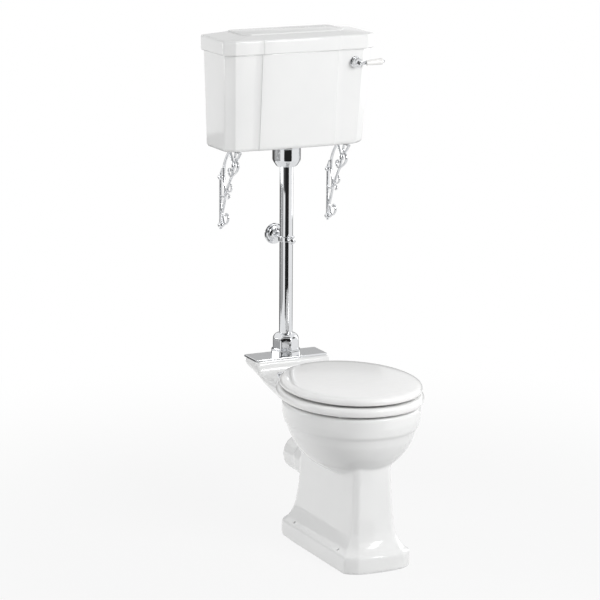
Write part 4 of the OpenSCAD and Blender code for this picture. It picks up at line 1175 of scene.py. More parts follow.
@dataclass
class Seat:
    """The seat ring and its lid with their rubber pads."""

    ring_w: float = 189.0
    ring_front: float = 251.0
    ring_rear: float = 210.0
    ring_z: float = 441.0
    ring_t: float = 24.0
    hole_w: float = 116.0
    hole_front: float = 196.0
    hole_rear: float = 92.0
    lid_inset: float = 5.0
    lid_z: float = 471.5
    lid_t: float = 23.5
    fall: float = 0.12
    pad_size: Pair = (6.0, 13.0)
    pad_gap: float = 0.3
    # The pads' angles in degrees, and the half width and reaches of the oval that they sit on.
    ring_pads: tuple = ((35, 145, 232, 308), 163, 225, 170)
    lid_pads: tuple = ((48, 132, 246, 294), 153, 217, 164)
    # Inset and share of the thickness, for the ring's edge and for the lid.
    edge: Rows = (
        (7, 0), (4, 0.02), (2, 0.1), (0.6, 0.22), (0, 0.38), (0, 0.55), (0.6, 0.69), (1.9, 0.81),
        (3.8, 0.905), (6.5, 0.965), (10, 0.993), (14, 1),
    )
    top: Rows = (
        (7, 0), (4, 0.015), (1.8, 0.08), (0.5, 0.18), (0, 0.3), (0.2, 0.43), (1.1, 0.56),
        (2.9, 0.68), (5.4, 0.77), (9, 0.835), (16, 0.89), (40, 0.94), (90, 0.985), (150, 1),
    )

    def ring(self) -> Shape:
        """Return the ring, round-edged outside and sloping to its hole."""
        outer = superoval(self.ring_w, self.ring_front, self.ring_rear)
        inner = superoval(self.hole_w, self.hole_front, self.hole_rear, 2.2, 2.2)
        sections = []
        for o, q in zip(outer, inner):
            u = (q - o) / np.linalg.norm(q - o)
            section = [[*(o + u * a), self.ring_z + self.ring_t * b] for a, b in self.edge]
            for a, b in self.edge[::-1]:
                share = b * (1.0 - self.fall * min(b / 0.5, 1.0))
                section.append([*(q - u * a), self.ring_z + self.ring_t * share])
            sections.append(np.array(section))
        return loft(sections, loop=True)

    def lid(self) -> Shape:
        """Return the lid, nearly flat on top with a softly falling edge."""
        rings = []
        for inset, share in self.top:
            i = self.lid_inset + inset
            ring = superoval(self.ring_w - i, self.ring_front - i, self.ring_rear - i, 2.1, 2.0)
            rings.append(lifted(ring, self.lid_z + self.lid_t * share))
        return loft(rings)

    def pads(
        self, places: Sequence[float], w: float, front: float, rear: float, z: float
    ) -> list[tuple[float, ...]]:
        """Return the spots of the pads, given by their angles on an oval.

        Args:
            places: Angles in degrees.
            w: Half width of the oval.
            front: Its reach in front.
            rear: Its reach behind.
            z: Height of the pads' undersides.

        Returns:
            Rows for scattered.
        """
        rows = []
        for place in places:
            e, reach = (2.1, front + OVAL_Y) if place > 180 else (2.2, rear - OVAL_Y)
            c, s = math.cos(math.radians(place)), math.sin(math.radians(place))
            x = w * math.copysign(abs(c) ** (2 / e), c)
            y = OVAL_Y + reach * math.copysign(abs(s) ** (2 / e), s)
            rows.append((x, y, z, math.atan2(reach * s, w * c)))
        return rows

    def pad(self, h: float) -> Shape:
        """Make one rubber pad with a rounded edge, centred on the origin.

        Args:
            h: Its height.

        Returns:
            The pad.
        """
        rings = []
        for z, i in ((1, 2.6), (0.97, 1.4), (0.85, 0.5), (0.6, 0), (0.06, 0), (0, 0)):
            w, d = (size - i for size in self.pad_size)
            rings.append(lifted(round_rect(-w, w, -d, d, 4), h * (1 - z)))
        return loft(rings)

    def make(self, paint: Finishes) -> None:
        """Make both leaves and their pads.

        Args:
            paint: The finishes.
        """
        gloss, rubber = paint.of(Slot.SEAT), paint.of(Slot.BUMPER)
        settle(build("seat_ring_skin", self.ring(), gloss), Body.RING, Slot.SEAT, "seat_ring")
        settle(build("seat_lid_skin", self.lid(), gloss), Body.LID, Slot.SEAT, "seat_lid")
        rows = [
            ("ring_pads", self.ring_pads, RIM_Z, 6.7, Body.RING, "ring_bumpers"),
            ("lid_pads", self.lid_pads, self.ring_z + self.ring_t, 6.2, Body.LID, "lid_bumpers"),
        ]
        for name, oval, z, h, body, node in rows:
            spots = self.pads(*oval, z + self.pad_gap)
            settle(scattered(name, self.pad(h), rubber, spots), body, Slot.BUMPER, node)


@dataclass
class FlushPipe:
    """The chrome pipe with its plate, flange, nut, wall clip and bell cup."""

    pipe_r: float = 19.0
    bore: float = 17.8
    low: float = 425.0
    high: float = 1057.0
    plate_w: float = 112.0
    plate_d: float = 83.0
    plate_t: float = 5.0
    turn: float = -3.5
    flange_h: float = 16.0
    nut_r: float = 39.5
    nut_h: float = 46.0
    dome_r: float = 17.0
    bell_r: float = 40.0
    bell_h: float = 59.0
    clip_z: float = 807.0
    band_r: float = 23.0
    band_h: float = 14.0
    rosette_r: float = 30.0
    ball_r: float = 11.0

    def octagon(self, r: float, flat: float, z: float, cap: float = math.inf) -> np.ndarray:
        """Return a ring between an octagon and its inner circle.

        Args:
            r: Radius to the corners.
            flat: 1 for the octagon, 0 for its inner circle.
            z: Height.
            cap: No point lies further out than this.

        Returns:
            The ring.
        """
        t = np.linspace(0, 2 * np.pi, OCTAGON_POINTS, endpoint=False)
        inner = r * HALF_SIDE
        out = inner / np.cos((t % (np.pi / 4)) - np.pi / 8)
        reach = np.minimum(inner + (out - inner) * flat, cap)
        t = t + math.radians(self.turn)
        return lifted(np.column_stack([reach * np.cos(t), reach * np.sin(t)]), z)

    def plate(self) -> Shape:
        """Return the thin cover plate with its eased top edge."""
        z, w, d = SHELF_Z, self.plate_w, self.plate_d / 2
        rows = [(0, 0.4), (0.4, 0), (3.8, 0), (4.5, 0.3), (4.85, 0.8)]
        rows += [(self.plate_t, 1.4), (self.plate_t, 2.6)]
        rings = [lifted(round_rect(-w + i, w - i, -d + i, d - i, 4 - i, 8), z + h) for h, i in rows]
        return loft(rings).moved(y=PIPE_Y)

    def flange(self) -> Shape:
        """Return the octagonal flange on the plate."""
        rows = [(0, 43.4), (0.6, 44), (12.6, 44), (14.2, 43.2), (15.4, 41.8), (16, 40.4)]
        rings = [self.octagon(r, 1.0, h, 43.0) for h, r in rows]
        return loft(rings).moved(0, PIPE_Y, PLATE_TOP)

    def nut(self) -> Shape:
        """Return the nut, with eight flats that run out into its dome."""
        r, dome = self.nut_r, self.dome_r
        flats = [(0, r - 0.8, 1.0), (0.8, r, 1.0), (25, r, 1.0), (27, r, 0.97), (29, r - 0.1, 0.82)]
        rings = [self.octagon(r, k, h, 38.5) for h, r, k in flats + [(31, r - 0.5, 0.6)]]
        for a in np.linspace(12, 84, 13):
            out = r * HALF_SIDE - dome + dome * math.cos(math.radians(a))
            h = self.nut_h - dome + dome * math.sin(math.radians(a))
            share = max(0.0, 0.45 * (1 - (a - 12) / 30))
            rings.append(self.octagon(out / HALF_SIDE, share, h))
        rings.append(self.octagon((self.pipe_r + 0.3) / HALF_SIDE, 0.0, self.nut_h))
        return loft(rings).moved(0, PIPE_Y, PLATE_TOP + self.flange_h)

    def pipe(self) -> Shape:
        """Return the pipe with its bore and eased ends."""
        r, b, l, h = self.pipe_r, self.bore, self.low, self.high
        path = [(b, l, 0.3), (r, l, 0.3), (r, h, 0.3), (b, h, 0.3)]
        return lathe(rounded(path, steps=3), 96).moved(y=PIPE_Y)

    def bell(self) -> Shape:
        """Return the bell cup with its rolled upper flange."""
        r, h, b = self.bell_r, self.bell_h, self.pipe_r + 0.06
        path = [
            (b, 0, 0.6), (r - 12, 0, 14), (r, 18, 16), (r, h - 6.5, 1.2), (r + 3, h - 5, 1.2),
            (r + 3, h, 0.8), (r - 1.5, h, 0.3), (r - 1.5, 18, 15), (r - 12, 1.5, 13), (b, 1.5, 0.4),
        ]
        return lathe(rounded(path, steps=8), 96).moved(0, PIPE_Y, CISTERN_Z - h)

    def rosette(self) -> Shape:
        """Return the clip's stepped rosette and its stem, from the wall out."""
        r = self.rosette_r
        path = [
            (0, 0), (r, 0, 0.4), (r, 2.6, 1), (27, 4, 0.8), (24, 4.4, 0.8), (21, 7.2, 2), (17, 8, 1),
            (12, 10.6, 3), (8, 15, 4), (8, 44, 1), (9.6, 45.5, 0.8), (9.6, 50, 0.8), (8, 52, 0.8),
            (6, 54, 0.3), (6, 56.6, 0.3), (0, 56.6),
        ]
        return spun(path, 72).moved(0, WALL_Y, self.clip_z)

    def band(self) -> Shape:
        """Return the clip's band with rounded edges, and its front lug."""
        r = self.pipe_r + 0.05
        out, h = self.band_r, self.band_h
        path = [(r, 0, 0.3), (out, 0, 1.6), (out, h, 1.6), (r, h, 0.3)]
        hoop = lathe(rounded(path, steps=5), 96).moved(0, PIPE_Y, self.clip_z - h / 2)
        path = [(0, 0), (7.5, 0, 0.6), (6.6, 2.2, 0.8), (6, 3.2, 0.4), (6, 6, 0.3), (0, 6)]
        return Shape.joined([hoop, spun(path, 48).moved(0, PIPE_Y - 20, self.clip_z)])

    def knob(self) -> Shape:
        """Return the ball that tightens the clip, on its short neck."""
        r = self.ball_r
        arc = [(r * math.cos(a), 10 + r * math.sin(a)) for a in np.linspace(-1.02, 1.5, 22)]
        path = [(0, -1), (5, -1), (5, 0.4), *arc, (0, 10 + r)]
        return spun(path, 64).moved(0, PIPE_Y - 26, self.clip_z)

    def make(self, paint: Finishes) -> None:
        """Make the pipe and its fittings.

        Args:
            paint: The finishes.
        """
        chrome = paint.of(Slot.CHROME)
        pieces = {
            "cover_plate": self.plate(),
            "pan_flange": self.flange(),
            "pan_nut": self.nut(),
            "flush_pipe": self.pipe(),
            "bell_cup": self.bell(),
            "clip_rosette": self.rosette(),
            "clip_band": self.band(),
            "clip_knob": self.knob(),
        }
        for node, shape in pieces.items():
            piece = build(node + "_chrome", shape, chrome, SHARP_CHROME)
            settle(piece, Body.ROOT, Slot.CHROME, node)


@dataclass
class Brackets:
    """The pair of scrolled wall brackets and their round-headed screws."""

    x: float = 168.0
    bar: float = 5.5
    thick: float = 9.0
    bosses: Pair = (227.0, 90.0)
    # Points of each stroke, out from the wall and up from the cistern, and its two end widths.
    strokes: tuple = (
        ([(6, -3), (70, -3), (135, -3)], 1.09, 1.09),
        ([(135, -4), (122, -18), (107, -31)], 1, 0.8),
        ([(104, -6), (100, -20), (107, -31)], 0.8, 0.8),
        ([(4, -92), (3.2, -160), (3.2, -225)], 1, 1),
        ([(4, -84), (6, -76), (12, -67)], 1, 0.5),
        ([(5, -231), (4, -234), (4, -236)], 0.6, 0.9),
        ([(4, -223), (10, -200), (17, -184), (27, -162), (34, -143)], 1, 0.8),
        ([(28, -219), (18, -202), (10, -182), (5, -160), (4, -145)], 0.8, 0.8),
        ([(4, -144), (20, -143), (37, -141)], 1, 1),
        (
            [(32, -138), (34, -118), (28, -99), (25, -80), (26, -60), (33, -43), (47, -24), (64, -6)],
            0.8, 1,
        ),
        (
            [
                (64, -6), (77, -24), (85, -40), (86, -58), (78, -77), (66, -92), (56, -107),
                (46, -121), (34, -134),
            ],
            1, 0.8,
        ),
        ([(44, -118), (56, -122), (67, -122), (75, -116), (77, -108), (70, -104)], 0.8, 0.6),
        ([(36, -136), (50, -130), (60, -133), (62, -139), (56, -142)], 0.8, 0.6),
        ([(78, -76), (66, -76), (57, -69), (58, -60), (66, -56), (71, -61)], 0.8, 0.6),
        ([(77, -78), (98, -67), (113, -56), (120, -44), (117, -35), (107, -31)], 0.8, 1),
        ([(84, -40), (93, -33), (99, -42), (95, -51), (88, -52)], 0.7, 0.6),
        (
            [
                (20, -228), (30, -221), (41, -218), (51, -209), (55, -199), (51, -191), (43, -188),
                (38, -193),
            ],
            0.8, 0.7,
        ),
    )
    # Place and radius of each ball at a stroke's end.
    drops: Rows = (
        (12, -67, 3.2), (71, -103, 3.8), (55, -142, 3.6), (71, -61, 3.8), (88, -52, 3.6),
        (39, -193, 4.6), (4, -236, 4), (34, -137, 4.5), (4.4, -144, 4.4),
    )

    def lines(self) -> bpy.types.Object:
        """Return the strokes of one bracket as loose lines that carry their width."""
        points, edges, widths = [], [], []
        for stroke, first, last in self.strokes:
            line = flowing(stroke, 8)
            start = len(points)
            for i, (d, z) in enumerate(line):
                share = i / (len(line) - 1)
                points.append((-self.x * MM, (WALL_Y - d) * MM, (CISTERN_Z + z) * MM))
                widths.append((first + (last - first) * share) * self.bar / 2 * MM)
            edges += [(start + i, start + i + 1) for i in range(len(line) - 1)]
        mesh = bpy.data.meshes.new("bracket_lines")
        mesh.from_pydata(points, edges, [])
        mesh.attributes.new("width", "FLOAT", "POINT").data.foreach_set("value", widths)
        return linked("bracket_scrolls", mesh)

    def scrolls(self, metal: bpy.types.Material) -> bpy.types.Object:
        """Cast both brackets along their strokes.

        Args:
            metal: The cast chrome.

        Returns:
            The pair as one object.
        """
        extras = [self.boss(z) for z in self.bosses]
        for d, z, r in self.drops:
            extras.append(ball(r).moved(-self.x, WALL_Y - d, CISTERN_Z + z))
        knots = build("bracket_knots", Shape.joined(extras), metal)
        sizes = {"Flatness": self.thick / self.bar, "Pair": (2 * self.x * MM, 0.0, 0.0)}
        rule = Rule("scrolled_bracket", sizes | {"Knots": knots, "Material": metal})
        curve = rule.node("GeometryNodeMeshToCurve", inputs={0: rule.given()})
        values = {"Resolution": 16, "Radius": 1.0}
        section = rule.node("GeometryNodeCurvePrimitiveCircle", inputs=values)
        values = {"X": rule.given("Flatness"), "Y": 1.0, "Z": 1.0}
        values = {"Geometry": section, "Scale": rule.node("ShaderNodeCombineXYZ", inputs=values)}
        section = rule.node("GeometryNodeTransform", inputs=values)
        values = {"Curve": curve, "Profile Curve": section, "Scale": rule.noted("width")}
        bars = rule.node("GeometryNodeCurveToMesh", inputs=values | {"Fill Caps": True})
        left = rule.node("GeometryNodeJoinGeometry", inputs={0: [bars, rule.held("Knots")]})
        values = {"Geometry": left, "Translation": rule.given("Pair")}
        right = rule.node("GeometryNodeTransform", inputs=values)
        rule.end(rule.node("GeometryNodeJoinGeometry", inputs={0: [left, right]}))
        obj = self.lines()
        rule.apply(obj, metal, 50)
        bpy.data.objects.remove(knots)
        return obj

    def boss(self, z: float) -> Shape:
        """Return the round boss behind a screw, z millimetres under the cistern."""
        path = [(2.52, 0, 0.2), (8, 0, 0.6), (8, 5, 1.5), (6.5, 8, 1), (2.52, 8, 0.2)]
        return spun(path, 48, closed=True).moved(-self.x, WALL_Y, CISTERN_Z - z)

    def screw(self) -> Shape:
        """Return the first screw, with its domed head and a little flat rim."""
        arc = [(8 * math.cos(a), 8 * math.sin(a) - 1) for a in np.linspace(0.2, 1.5, 14)]
        path = [(0, -8), (2.5, -8), (2.5, 0), (7.4, 0), (7.9, 0.3), *arc, (0, 7)]
        return spun(path, 56).moved(-self.x, WALL_Y - 8, CISTERN_Z - self.bosses[0])

    def make(self, paint: Finishes) -> None:
        """Make the brackets and their screws.

        Args:
            paint: The finishes.
        """
        pair = self.scrolls(paint.cast)
        settle(pair, Body.ROOT, Slot.CHROME, "bracket_left", "bracket_right")
        across = (2, (2 * self.x * MM, 0.0, 0.0))
        up = (2, (0.0, 0.0, (self.bosses[0] - self.bosses[1]) * MM))
        screws = repeated("bracket_screw_heads", self.screw(), paint.of(Slot.CHROME), across, up)
        settle(screws, Body.ROOT, Slot.CHROME, "bracket_screws")


@dataclass
class Cistern:
    """The wall-hung cistern and its lift-off lid, with their bevels and coves."""

    half_w: float = 222.0
    height: float = 273.0
    depth: float = 165.0
    side_draft: float = 9.0
    front_draft: float = 22.0
    rise: float = 5.0
    corner: Pair = (26.0, 17.0)
    wall: float = 12.0
    base_r: float = 12.0
    over: float = 10.0
    over_front: float = 13.0
    top_w: float = 157.0
    top_d: float = 115.0
    tail_hole_r: float = 24.0
    inlet: Pair = (429.0, 1288.0)
    # Start, end and radius of the inlet's hole and of the seats beside it.
    inlet_bores: Rows = ((190, 250, 11.5), (219.1, 235, 17), (200.1, 209.1, 15.5))
    fixing: Pair = (130.0, 1298.0)
    fixing_r: float = 4.0
    lid_wall: float = 21.0
    lug_x: float = 206.0
    lug_y: Pair = (345.0, 415.0)

    def plan(
        self,
        w: float,
        side: float,
        mid: float,
        c: Pair,
        r: float,
        back: float = 0.0,
        top: bool = False,
        cove: float = 23.0,
        soft: float = 9.0,
    ) -> np.ndarray:
        """Return a level outline of the body or its lid.

        Args:
            w: Half width.
            side: Depth of the side panels from the wall.
            mid: Depth of the middle panel.
            c: Width and depth of the front bevels.
            r: Radius of the rear corners.
            back: Distance of the back from the wall.
            top: Whether it is the plateau, whose middle panel is narrower and crisper.
            cove: Width of the coves beside the middle panel.
            soft: Radius of the bevels' edges.

        Returns:
            The outline, counterclockwise from above.
        """
        panel, crisp = (88.0, 0.8) if top else (115.0, 2.0)
        hollow = []
        for t in np.linspace(0, np.pi / 2, 12)[:-1]:
            depth = side + (mid - side) * (1 - math.cos(t))
            hollow.append((panel + cove - cove * math.sin(t), depth, 0))
        half = [(w, back, r), (w, side - c[1], soft), (w - c[0], side, soft), *hollow, (panel, mid, crisp)]
        left = [(-x, WALL_Y - d, q) for x, d, q in half]
        right = [(x, WALL_Y - d, q) for x, d, q in half[::-1]]
        return rounded(left + right, steps=7)

    def body_ring(self, h: float, inset: float) -> np.ndarray:
        """Make one ring of the body's outside.

        Args:
            h: Its height above the underside.
            inset: How far it is drawn in.

        Returns:
            The ring.
        """
        t = 1 - h / self.height
        side = self.depth - self.front_draft * t - inset
        w = self.half_w - self.side_draft * t - inset
        return lifted(self.plan(w, side, side + self.rise, self.corner, 12), CISTERN_Z + h)

    def hollow_ring(self, h: float) -> np.ndarray:
        """Make one ring of the body's inside.

        Args:
            h: Its height above the underside.

        Returns:
            The ring.
        """
        t = 1 - h / self.height
        w = self.half_w - self.side_draft * t - self.wall
        front = WALL_Y - self.depth + self.front_draft * t + self.wall
        return lifted(round_rect(-w, w, front, WALL_Y - self.wall, 16), CISTERN_Z + h)

    def body(self, paint: Finishes) -> bpy.types.Object:
        """Make the body, hollow and drilled.

        Args:
            paint: The finishes.

        Returns:
            The body.
        """
        r, top = self.base_r, self.height
        turn = np.radians(np.linspace(14, 90, 9))
        rows = [(r * (1 - math.cos(a)), r * (1 - math.sin(a))) for a in turn]
        rows += [(60, 0), (110, 0), (160, 0), (215, 0), (top - 5, 0)]
        rows += [(top - 2, 0.2), (top - 0.6, 0.7), (top, 1.5)]
        shape = loft([self.body_ring(h, i) for h, i in rows])
        obj = build("cistern_body", shape, paint.of(Slot.CERAMIC), SHARP_CHINA)
        lever = Lever()
        y, z = self.inlet
        cuts = [
            loft([self.hollow_ring(self.wall), self.hollow_ring(self.height + 1)]),
            rod((0, PIPE_Y, CISTERN_Z - 1), (0, PIPE_Y, CISTERN_Z + 14), self.tail_hole_r),
            *(rod((a, y, z), (b, y, z), r) for a, b, r in self.inlet_bores),
            lever.placed(rod((0, -5, 0), (0, 22, 0), 8.3)),
            lever.placed(rod((0, 11, 0), (0, 21, 0), 17)),
        ]
        x, z = self.fixing
        for a in (-x, x):
            cuts.append(rod((a, WALL_Y - 15, z), (a, WALL_Y + 5, z), self.fixing_r, 32))
        for cut in cuts:
            carve(obj, cut)
        clean(obj, SHARP_CHINA)
        return obj

    def lid(self, paint: Finishes) -> bpy.types.Object:
        """Make the lid, with a hipped top and a shallow raised plateau.

        Args:
            paint: The finishes.

        Returns:
            The lid.
        """
        w, side, d = self.half_w + self.over, self.depth + self.over_front, self.top_d
        rows = [
            (0, 2.6), (0.6, 1.6), (1.6, 0.7), (3, 0.1), (5, 0), (34, 0), (36.5, 0.2), (38.6, 0.9),
            (40.2, 2.2), (41, 3.8),
        ]
        flat = []
        for h, i in rows:
            mid = side - i + self.rise - 2
            flat.append((h, self.plan(w - i, side - i, mid, (31, 19), 15, cove=19, soft=10)))
        foot, head = (
            self.plan(self.top_w + i, d + 20 + i, d + 20.5 + i, (c, c), r, 20 - i, True, 10, 6)
            for i, c, r in ((3, 24, 17), (0, 22, 16))
        )
        height, edge = flat[-1]
        for t in (0.06, 0.2, 0.4, 0.6, 0.8, 0.94, 1.0):
            flat.append((height + 8 * t, edge + (foot - edge) * t))
        for h, t in ((49.4, 0.16), (50.2, 0.34), (51.1, 0.58), (51.7, 0.8), (52, 1.0)):
            flat.append((h, foot + (head - foot) * t))
        shape = loft([lifted(ring, TOP_Z + h) for h, ring in flat])
        obj = build("cistern_lid_shell", shape, paint.of(Slot.CERAMIC), SHARP_CHINA)
        inner = []
        for h, i in ((-1, 0), (32, 6), (40, 20)):
            x, front = w - self.lid_wall - i, WALL_Y - side + self.lid_wall + i
            inner.append(lifted(round_rect(-x, x, front, WALL_Y - 14 - i, 14), TOP_Z + h))
        carve(obj, loft(inner))
        for x in (-self.lug_x, self.lug_x):
            lug = []
            for h, i in ((-9, 1), (-8, 0), (20, 0)):
                front, rear = self.lug_y
                ring = round_rect(x - 3 + i, x + 3 - i, front + i, rear - i, 2.4 - i)
                lug.append(lifted(ring, TOP_Z + h))
            carve(obj, loft(lug), "UNION")
        clean(obj, SHARP_CHINA)
        return obj

    def make(self, paint: Finishes) -> None:
        """Make the cistern and its lid.

        Args:
            paint: The finishes.
        """
        settle(self.body(paint), Body.ROOT, Slot.CERAMIC, "cistern")
        settle(self.lid(paint), Body.COVER, Slot.CERAMIC, "cistern_lid")


@dataclass
class Lever:
    """The flush lever: stepped rose, hub, ceramic grip and chrome tip."""

    x: float = 170.0
    drop: float = 36.0
    rose_r: float = 15.5
    spindle_r: float = 5.0
    grip_l: float = 50.0
    grip_r: float = 9.2
    grip_start: float = 21.0
    grip_out: float = 28.0
    tilt: float = 2.0

    def placed(self, shape: Shape) -> Shape:
        """Move a shape from the lever's own frame onto the cistern's right panel.

        Args:
            shape: The shape, with the panel's face on y = 0 and the lever's line through 0.

        Returns:
            The moved shape.
        """
        cistern = Cistern()
        lean = math.atan(cistern.front_draft / cistern.height)
        y = WALL_Y - cistern.depth + self.drop * math.tan(lean)
        return shape.turned(Matrix.Rotation(lean, 3, "X")).moved(self.x, y, TOP_Z - self.drop)

    def sideways(self, path: Points, start: float) -> Shape:
        """Turn a profile about the grip's line and put it in place.

        Args:
            path: Points (radius, distance along the line, corner radius).
            start: Where along the line the profile begins.

        Returns:
            The turned shape.
        """
        shape = lathe(rounded(path, closed=False, steps=5), 64)
        level = shape.turned(Matrix.Rotation(math.pi / 2, 3, "Y")).moved(start)
        leant = level.turned(Matrix.Rotation(-math.radians(self.tilt), 3, "Y"))
        return self.placed(leant.moved(y=-self.grip_out))

    def rose(self) -> Shape:
        """Return the stepped rose with its bush through the wall."""
        r, b = self.rose_r, self.spindle_r + 0.05
        path = [
            (b, -26, 0.3), (8, -26, 0.5), (8, 0.1, 0.2), (r, 0.1, 0.4), (r, 2.6, 1),
            (r - 1.6, 3.6, 0.6), (r - 3.2, 3.6, 0.3), (r - 3.2, 6, 0.8), (r - 4.6, 7.4, 0.8),
            (r - 6.4, 7.8, 0.4), (r - 6.8, 11, 0.6), (b, 11, 0.3),
        ]
        return self.placed(spun(path, 64, 5, closed=True))

    def hub(self) -> Shape:
        """Return the spindle, the onion-shaped hub and the collared neck."""
        spindle = self.placed(rod((0, -23, 0), (0, 84, 0), self.spindle_r))
        path = [
            (0, 11.3), (9, 11.3, 0.6), (13, 13.2, 1), (14, 16.4, 3), (13.8, 20, 4), (12.4, 25.3, 5),
            (9.8, 30.3, 5), (6, 34.3, 4), (2.5, 36.3, 1.5), (0, 36.7),
        ]
        neck = [
            (0, 0), (5, 0), (5, 12, 1), (3.6, 14, 0.8), (3.6, 15.5, 0.8), (6, 16.5, 0.6), (6.5, 18, 0.8),
            (6, 19.3, 0.5), (5, 20, 0.3), (5, 21, 0.3), (0, 21),
        ]
        return Shape.joined([spindle, self.placed(spun(path, 64, 5)), self.sideways(neck, 0)])

    def grip(self) -> Shape:
        """Return the ceramic grip, swelling towards its outer end."""
        t = np.linspace(0.04, 0.94, 14)
        r, end = self.grip_r, self.grip_l
        path = [(2.05, 0), (6, 0, 0.3), (7, 0.9, 0.4)]
        path += [(7.2 + (r - 7.2) * a * a * (3 - 2 * a), end * a) for a in t]
        path += [(r, end - 1.6, 1.2), (r - 1.8, end, 0.8), (2.05, end), (2.05, 0)]
        return self.sideways(path, self.grip_start)

    def tip(self) -> Shape:
        """Return the chrome rod through the grip and its turned end."""
        path = [
            (0, 0), (2, 0), (2, 50), (6, 50, 0.3), (6.1, 51.4, 0.5), (4, 52.4, 0.6), (4.7, 54, 1),
            (4.2, 56, 1), (2.2, 57.4, 0.8), (0, 57.8),
        ]
        return self.sideways(path, self.grip_start)

    def make(self, paint: Finishes) -> None:
        """Make the lever's visible pieces.

        Args:
            paint: The finishes.
        """
        chrome, grip = Slot.CHROME, Slot.GRIP
        rows = [
            ("lever_rose", "_chrome", self.rose(), SHARP_CHROME, Body.ROOT, chrome),
            ("lever_hub", "_chrome", self.hub(), SHARP_CHROME, Body.LEVER, chrome),
            ("lever_grip", "_china", self.grip(), SHARP_CHINA - 2, Body.LEVER, grip),
            ("lever_tip", "_chrome", self.tip(), SHARP_CHROME, Body.LEVER, chrome),
        ]
        for node, ending, shape, sharp, body, slot in rows:
            settle(build(node + ending, shape, paint.of(slot), sharp), body, slot, node)


class Inside:
    """The working pieces that keep their own meshes and get their finishes here."""

    MADE_OF = {
        Slot.CHROME: (
            "ring_hinge_leaves", "lid_hinge_leaves", "hinge_posts", "hinge_pins", "hinge_bolts",
            "tail_nut", "pipe_nut", "lever_arm", "float_pin",
        ),
        Slot.BRASS: ("lever_nut", "valve_nut", "float_arm"),
        Slot.SEAL: ("hinge_washers", "inlet_seal", "tail_washer", "siphon_flap", "valve_washer"),
        Slot.PLASTIC: ("hinge_nuts", "siphon_body", "siphon_plunger", "fill_valve"),
        Slot.FLOAT: ("float",),
    }

    def make(self, paint: Finishes, nodes: dict[str, Any]) -> None:
        """Give every remaining node its finish.

        Args:
            paint: The finishes.
            nodes: The frame's nodes by name.
        """
        for slot, names in self.MADE_OF.items():
            for name in names:
                mesh = nodes[name].data
                mesh.materials.clear()
                mesh.materials.append(paint.of(slot))
                LOG.info("%s is finished as %s", name, slot.value)


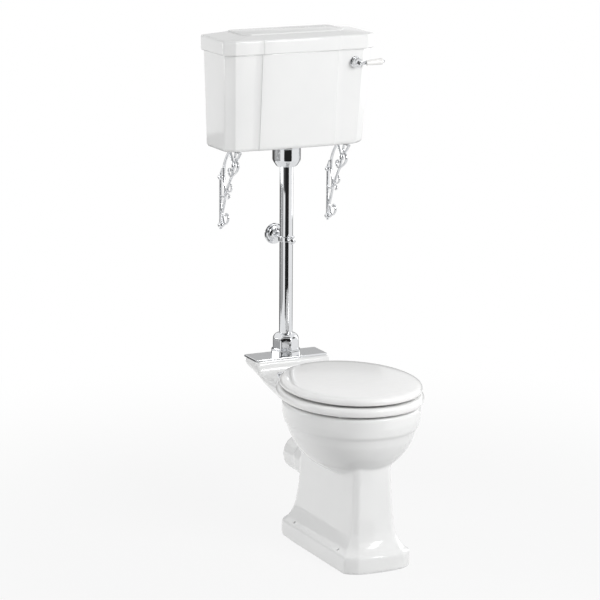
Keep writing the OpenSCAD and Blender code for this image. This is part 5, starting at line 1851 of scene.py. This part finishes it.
@dataclass
class Studio:
    """The pale floor, the lamps, the dark cards and the camera."""

    eye: Triple = (-3.34514, -6.57702, 2.37221)
    azimuth: float = -25.96
    pitch: float = 12.72
    roll: float = 0.33
    lens: float = 167.525
    sensor: float = 36.0
    reach: float = 60.0
    aim: Triple = (0.0, 0.1, 0.7)
    key_aim: Triple = (0.0, 0.3, 1.5)
    floor_r: float = 20000.0

    def camera(self) -> None:
        """Set the camera where the photograph was taken from."""
        a, p, r = (math.radians(v) for v in (self.azimuth, self.pitch, self.roll))
        back = Vector((math.sin(a) * math.cos(p), -math.cos(a) * math.cos(p), math.sin(p)))
        flat = Vector((math.cos(a), math.sin(a), 0.0))
        over = back.cross(flat)
        right = math.cos(r) * flat + math.sin(r) * over
        up = -math.sin(r) * flat + math.cos(r) * over
        data = bpy.data.cameras.new("photograph")
        data.lens, data.sensor_width, data.clip_end = self.lens, self.sensor, self.reach
        obj = linked("photograph", data)
        turn = Matrix((right, up, back)).transposed().to_4x4()
        obj.matrix_world = Matrix.Translation(Vector(self.eye)) @ turn
        bpy.context.scene.camera = obj

    def lamp(
        self, name: str, place: Sequence[float], size: Sequence[float], watts: float, aim: Sequence[float]
    ) -> None:
        """Add a soft rectangular lamp.

        Args:
            name: The lamp's name.
            place: Where it stands, in metres.
            size: Its width and height.
            watts: Its power.
            aim: The point that it faces.
        """
        data = bpy.data.lights.new(name, "AREA")
        data.shape, data.size, data.size_y, data.energy = "RECTANGLE", size[0], size[1], watts
        obj = linked(name, data)
        obj.location = place
        obj.rotation_euler = (Vector(aim) - Vector(place)).to_track_quat("-Z", "Y").to_euler()

    def world(self) -> None:
        """Light evenly from all round, and show white to the eye and to chrome."""
        world = bpy.data.worlds.new("studio_air")
        world.use_nodes = True
        bpy.context.scene.world = world
        tree = Tree(world.node_tree)
        seen = tree.seen()
        x, y, z = tree.parts(tree.node("ShaderNodeTexCoord", output="Generated"))
        dim = (x * -0.77 + y * -0.5 - z * 0.4).most(0.0)
        soft = 0.73 + x * 0.02 - z * 0.28 - dim * dim * 0.3
        values = {"Color": WHITE, "Strength": seen + (1 - seen) * soft}
        air = tree.node("ShaderNodeBackground", inputs=values)
        tree.node("ShaderNodeOutputWorld", inputs={"Surface": air})

    def floor(self) -> None:
        """Lay the pale floor, which holds the shadow and fades into the white round it."""
        paint = Paint("studio_floor")
        x, y, _ = paint.parts(paint.place())
        far = ((x * x + y * y) ** 0.5).ramp(0.7, 2.2)
        grain = paint.noise(40.0, 3.0)
        colour = paint.blend(grain * 0.1, (0.6, 0.6, 0.6, 1.0), (0.56, 0.56, 0.56, 1.0))
        matt = paint.node("ShaderNodeBsdfDiffuse", inputs={"Color": colour})
        share = paint.seen() * (0.87 + far * 0.13)
        turn = np.linspace(0, 2 * np.pi, 64, endpoint=False)
        ring = self.floor_r * np.column_stack([np.cos(turn), np.sin(turn)])
        ground = Shape(lifted(ring, 0.0), [tuple(range(len(turn)))])
        build("studio_floor", ground, paint.glow(share, matt, WHITE))

    def card(self, name: str, place: Sequence[float], size: Sequence[float], shade: float) -> None:
        """Hang a dark card that only glossy surfaces can see.

        Args:
            name: The card's name.
            place: Its middle, in metres.
            size: Its width and height.
            shade: Its brightness.
        """
        paint = Paint(name)
        rays = paint.node("ShaderNodeLightPath", output="Is Glossy Ray")
        clear = paint.node("ShaderNodeBsdfTransparent", inputs={"Color": WHITE})
        w, h = size[0] / 2 / MM, size[1] / 2 / MM
        flat = Shape(np.array([[-w, -h, 0], [w, -h, 0], [w, h, 0], [-w, h, 0]]), [(0, 1, 2, 3)])
        towards = Vector((0.0, PIPE_Y * MM, place[2])) - Vector(place)
        face = towards.to_track_quat("Z", "Y").to_matrix()
        shape = flat.turned(face).moved(*(v / MM for v in place))
        build(name, shape, paint.glow(rays, clear, (shade, shade, shade, 1.0)))

    def make(self) -> None:
        """Set up everything round the object."""
        bpy.context.scene.view_settings.view_transform = "Standard"
        self.camera()
        self.world()
        self.floor()
        self.lamp("key_lamp", (0.8, -2.4, 2.0), (1.3, 1.3), 49, self.key_aim)
        self.lamp("right_lamp", (3.6, 0.9, 1.5), (1.2, 2.4), 24, self.aim)
        self.lamp("left_lamp", (-3.2, 1.9, 0.7), (1.2, 1.4), 44, self.aim)
        cards = [
            ("card_behind_eye", (-3.9, -7.8, 1.2), (3.6, 6.0), 0.03),
            ("card_before_pipe", (-0.35, -1.0, 0.9), (1.72, 1.8), 0.02),
            ("card_far_behind", (0.78, 2.0, 0.91), (0.7, 0.2), 0.55),
            ("card_above", (-0.2, -0.7, 2.7), (2.6, 1.8), 0.08),
            ("card_left_of_lever", (-1.5, -0.5, 1.3), (0.9, 0.8), 0.08),
            ("card_right_of_lever", (1.7, -0.5, 1.5), (0.8, 0.9), 0.08),
            ("card_left", (-1.72, 0.93, 0.45), (2.1, 0.9), 0.42),
            ("card_left_behind", (-0.22, 1.97, 0.4), (2.16, 0.8), 0.1),
            ("card_right_behind", (1.42, 1.49, 0.4), (1.76, 0.8), 0.3),
        ]
        for name, place, size, shade in cards:
            self.card(name, place, size, shade)


def main() -> None:
    """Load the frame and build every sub-assembly over it."""
    logging.basicConfig(level=logging.INFO, format="%(name)s: %(message)s")
    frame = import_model()
    Studio().make()
    paint = Finishes()
    for maker in (Pan(), Seat(), FlushPipe(), Brackets(), Cistern(), Lever()):
        maker.make(paint)
    Inside().make(paint, frame["nodes"])


if __name__ == "__main__":
    main()
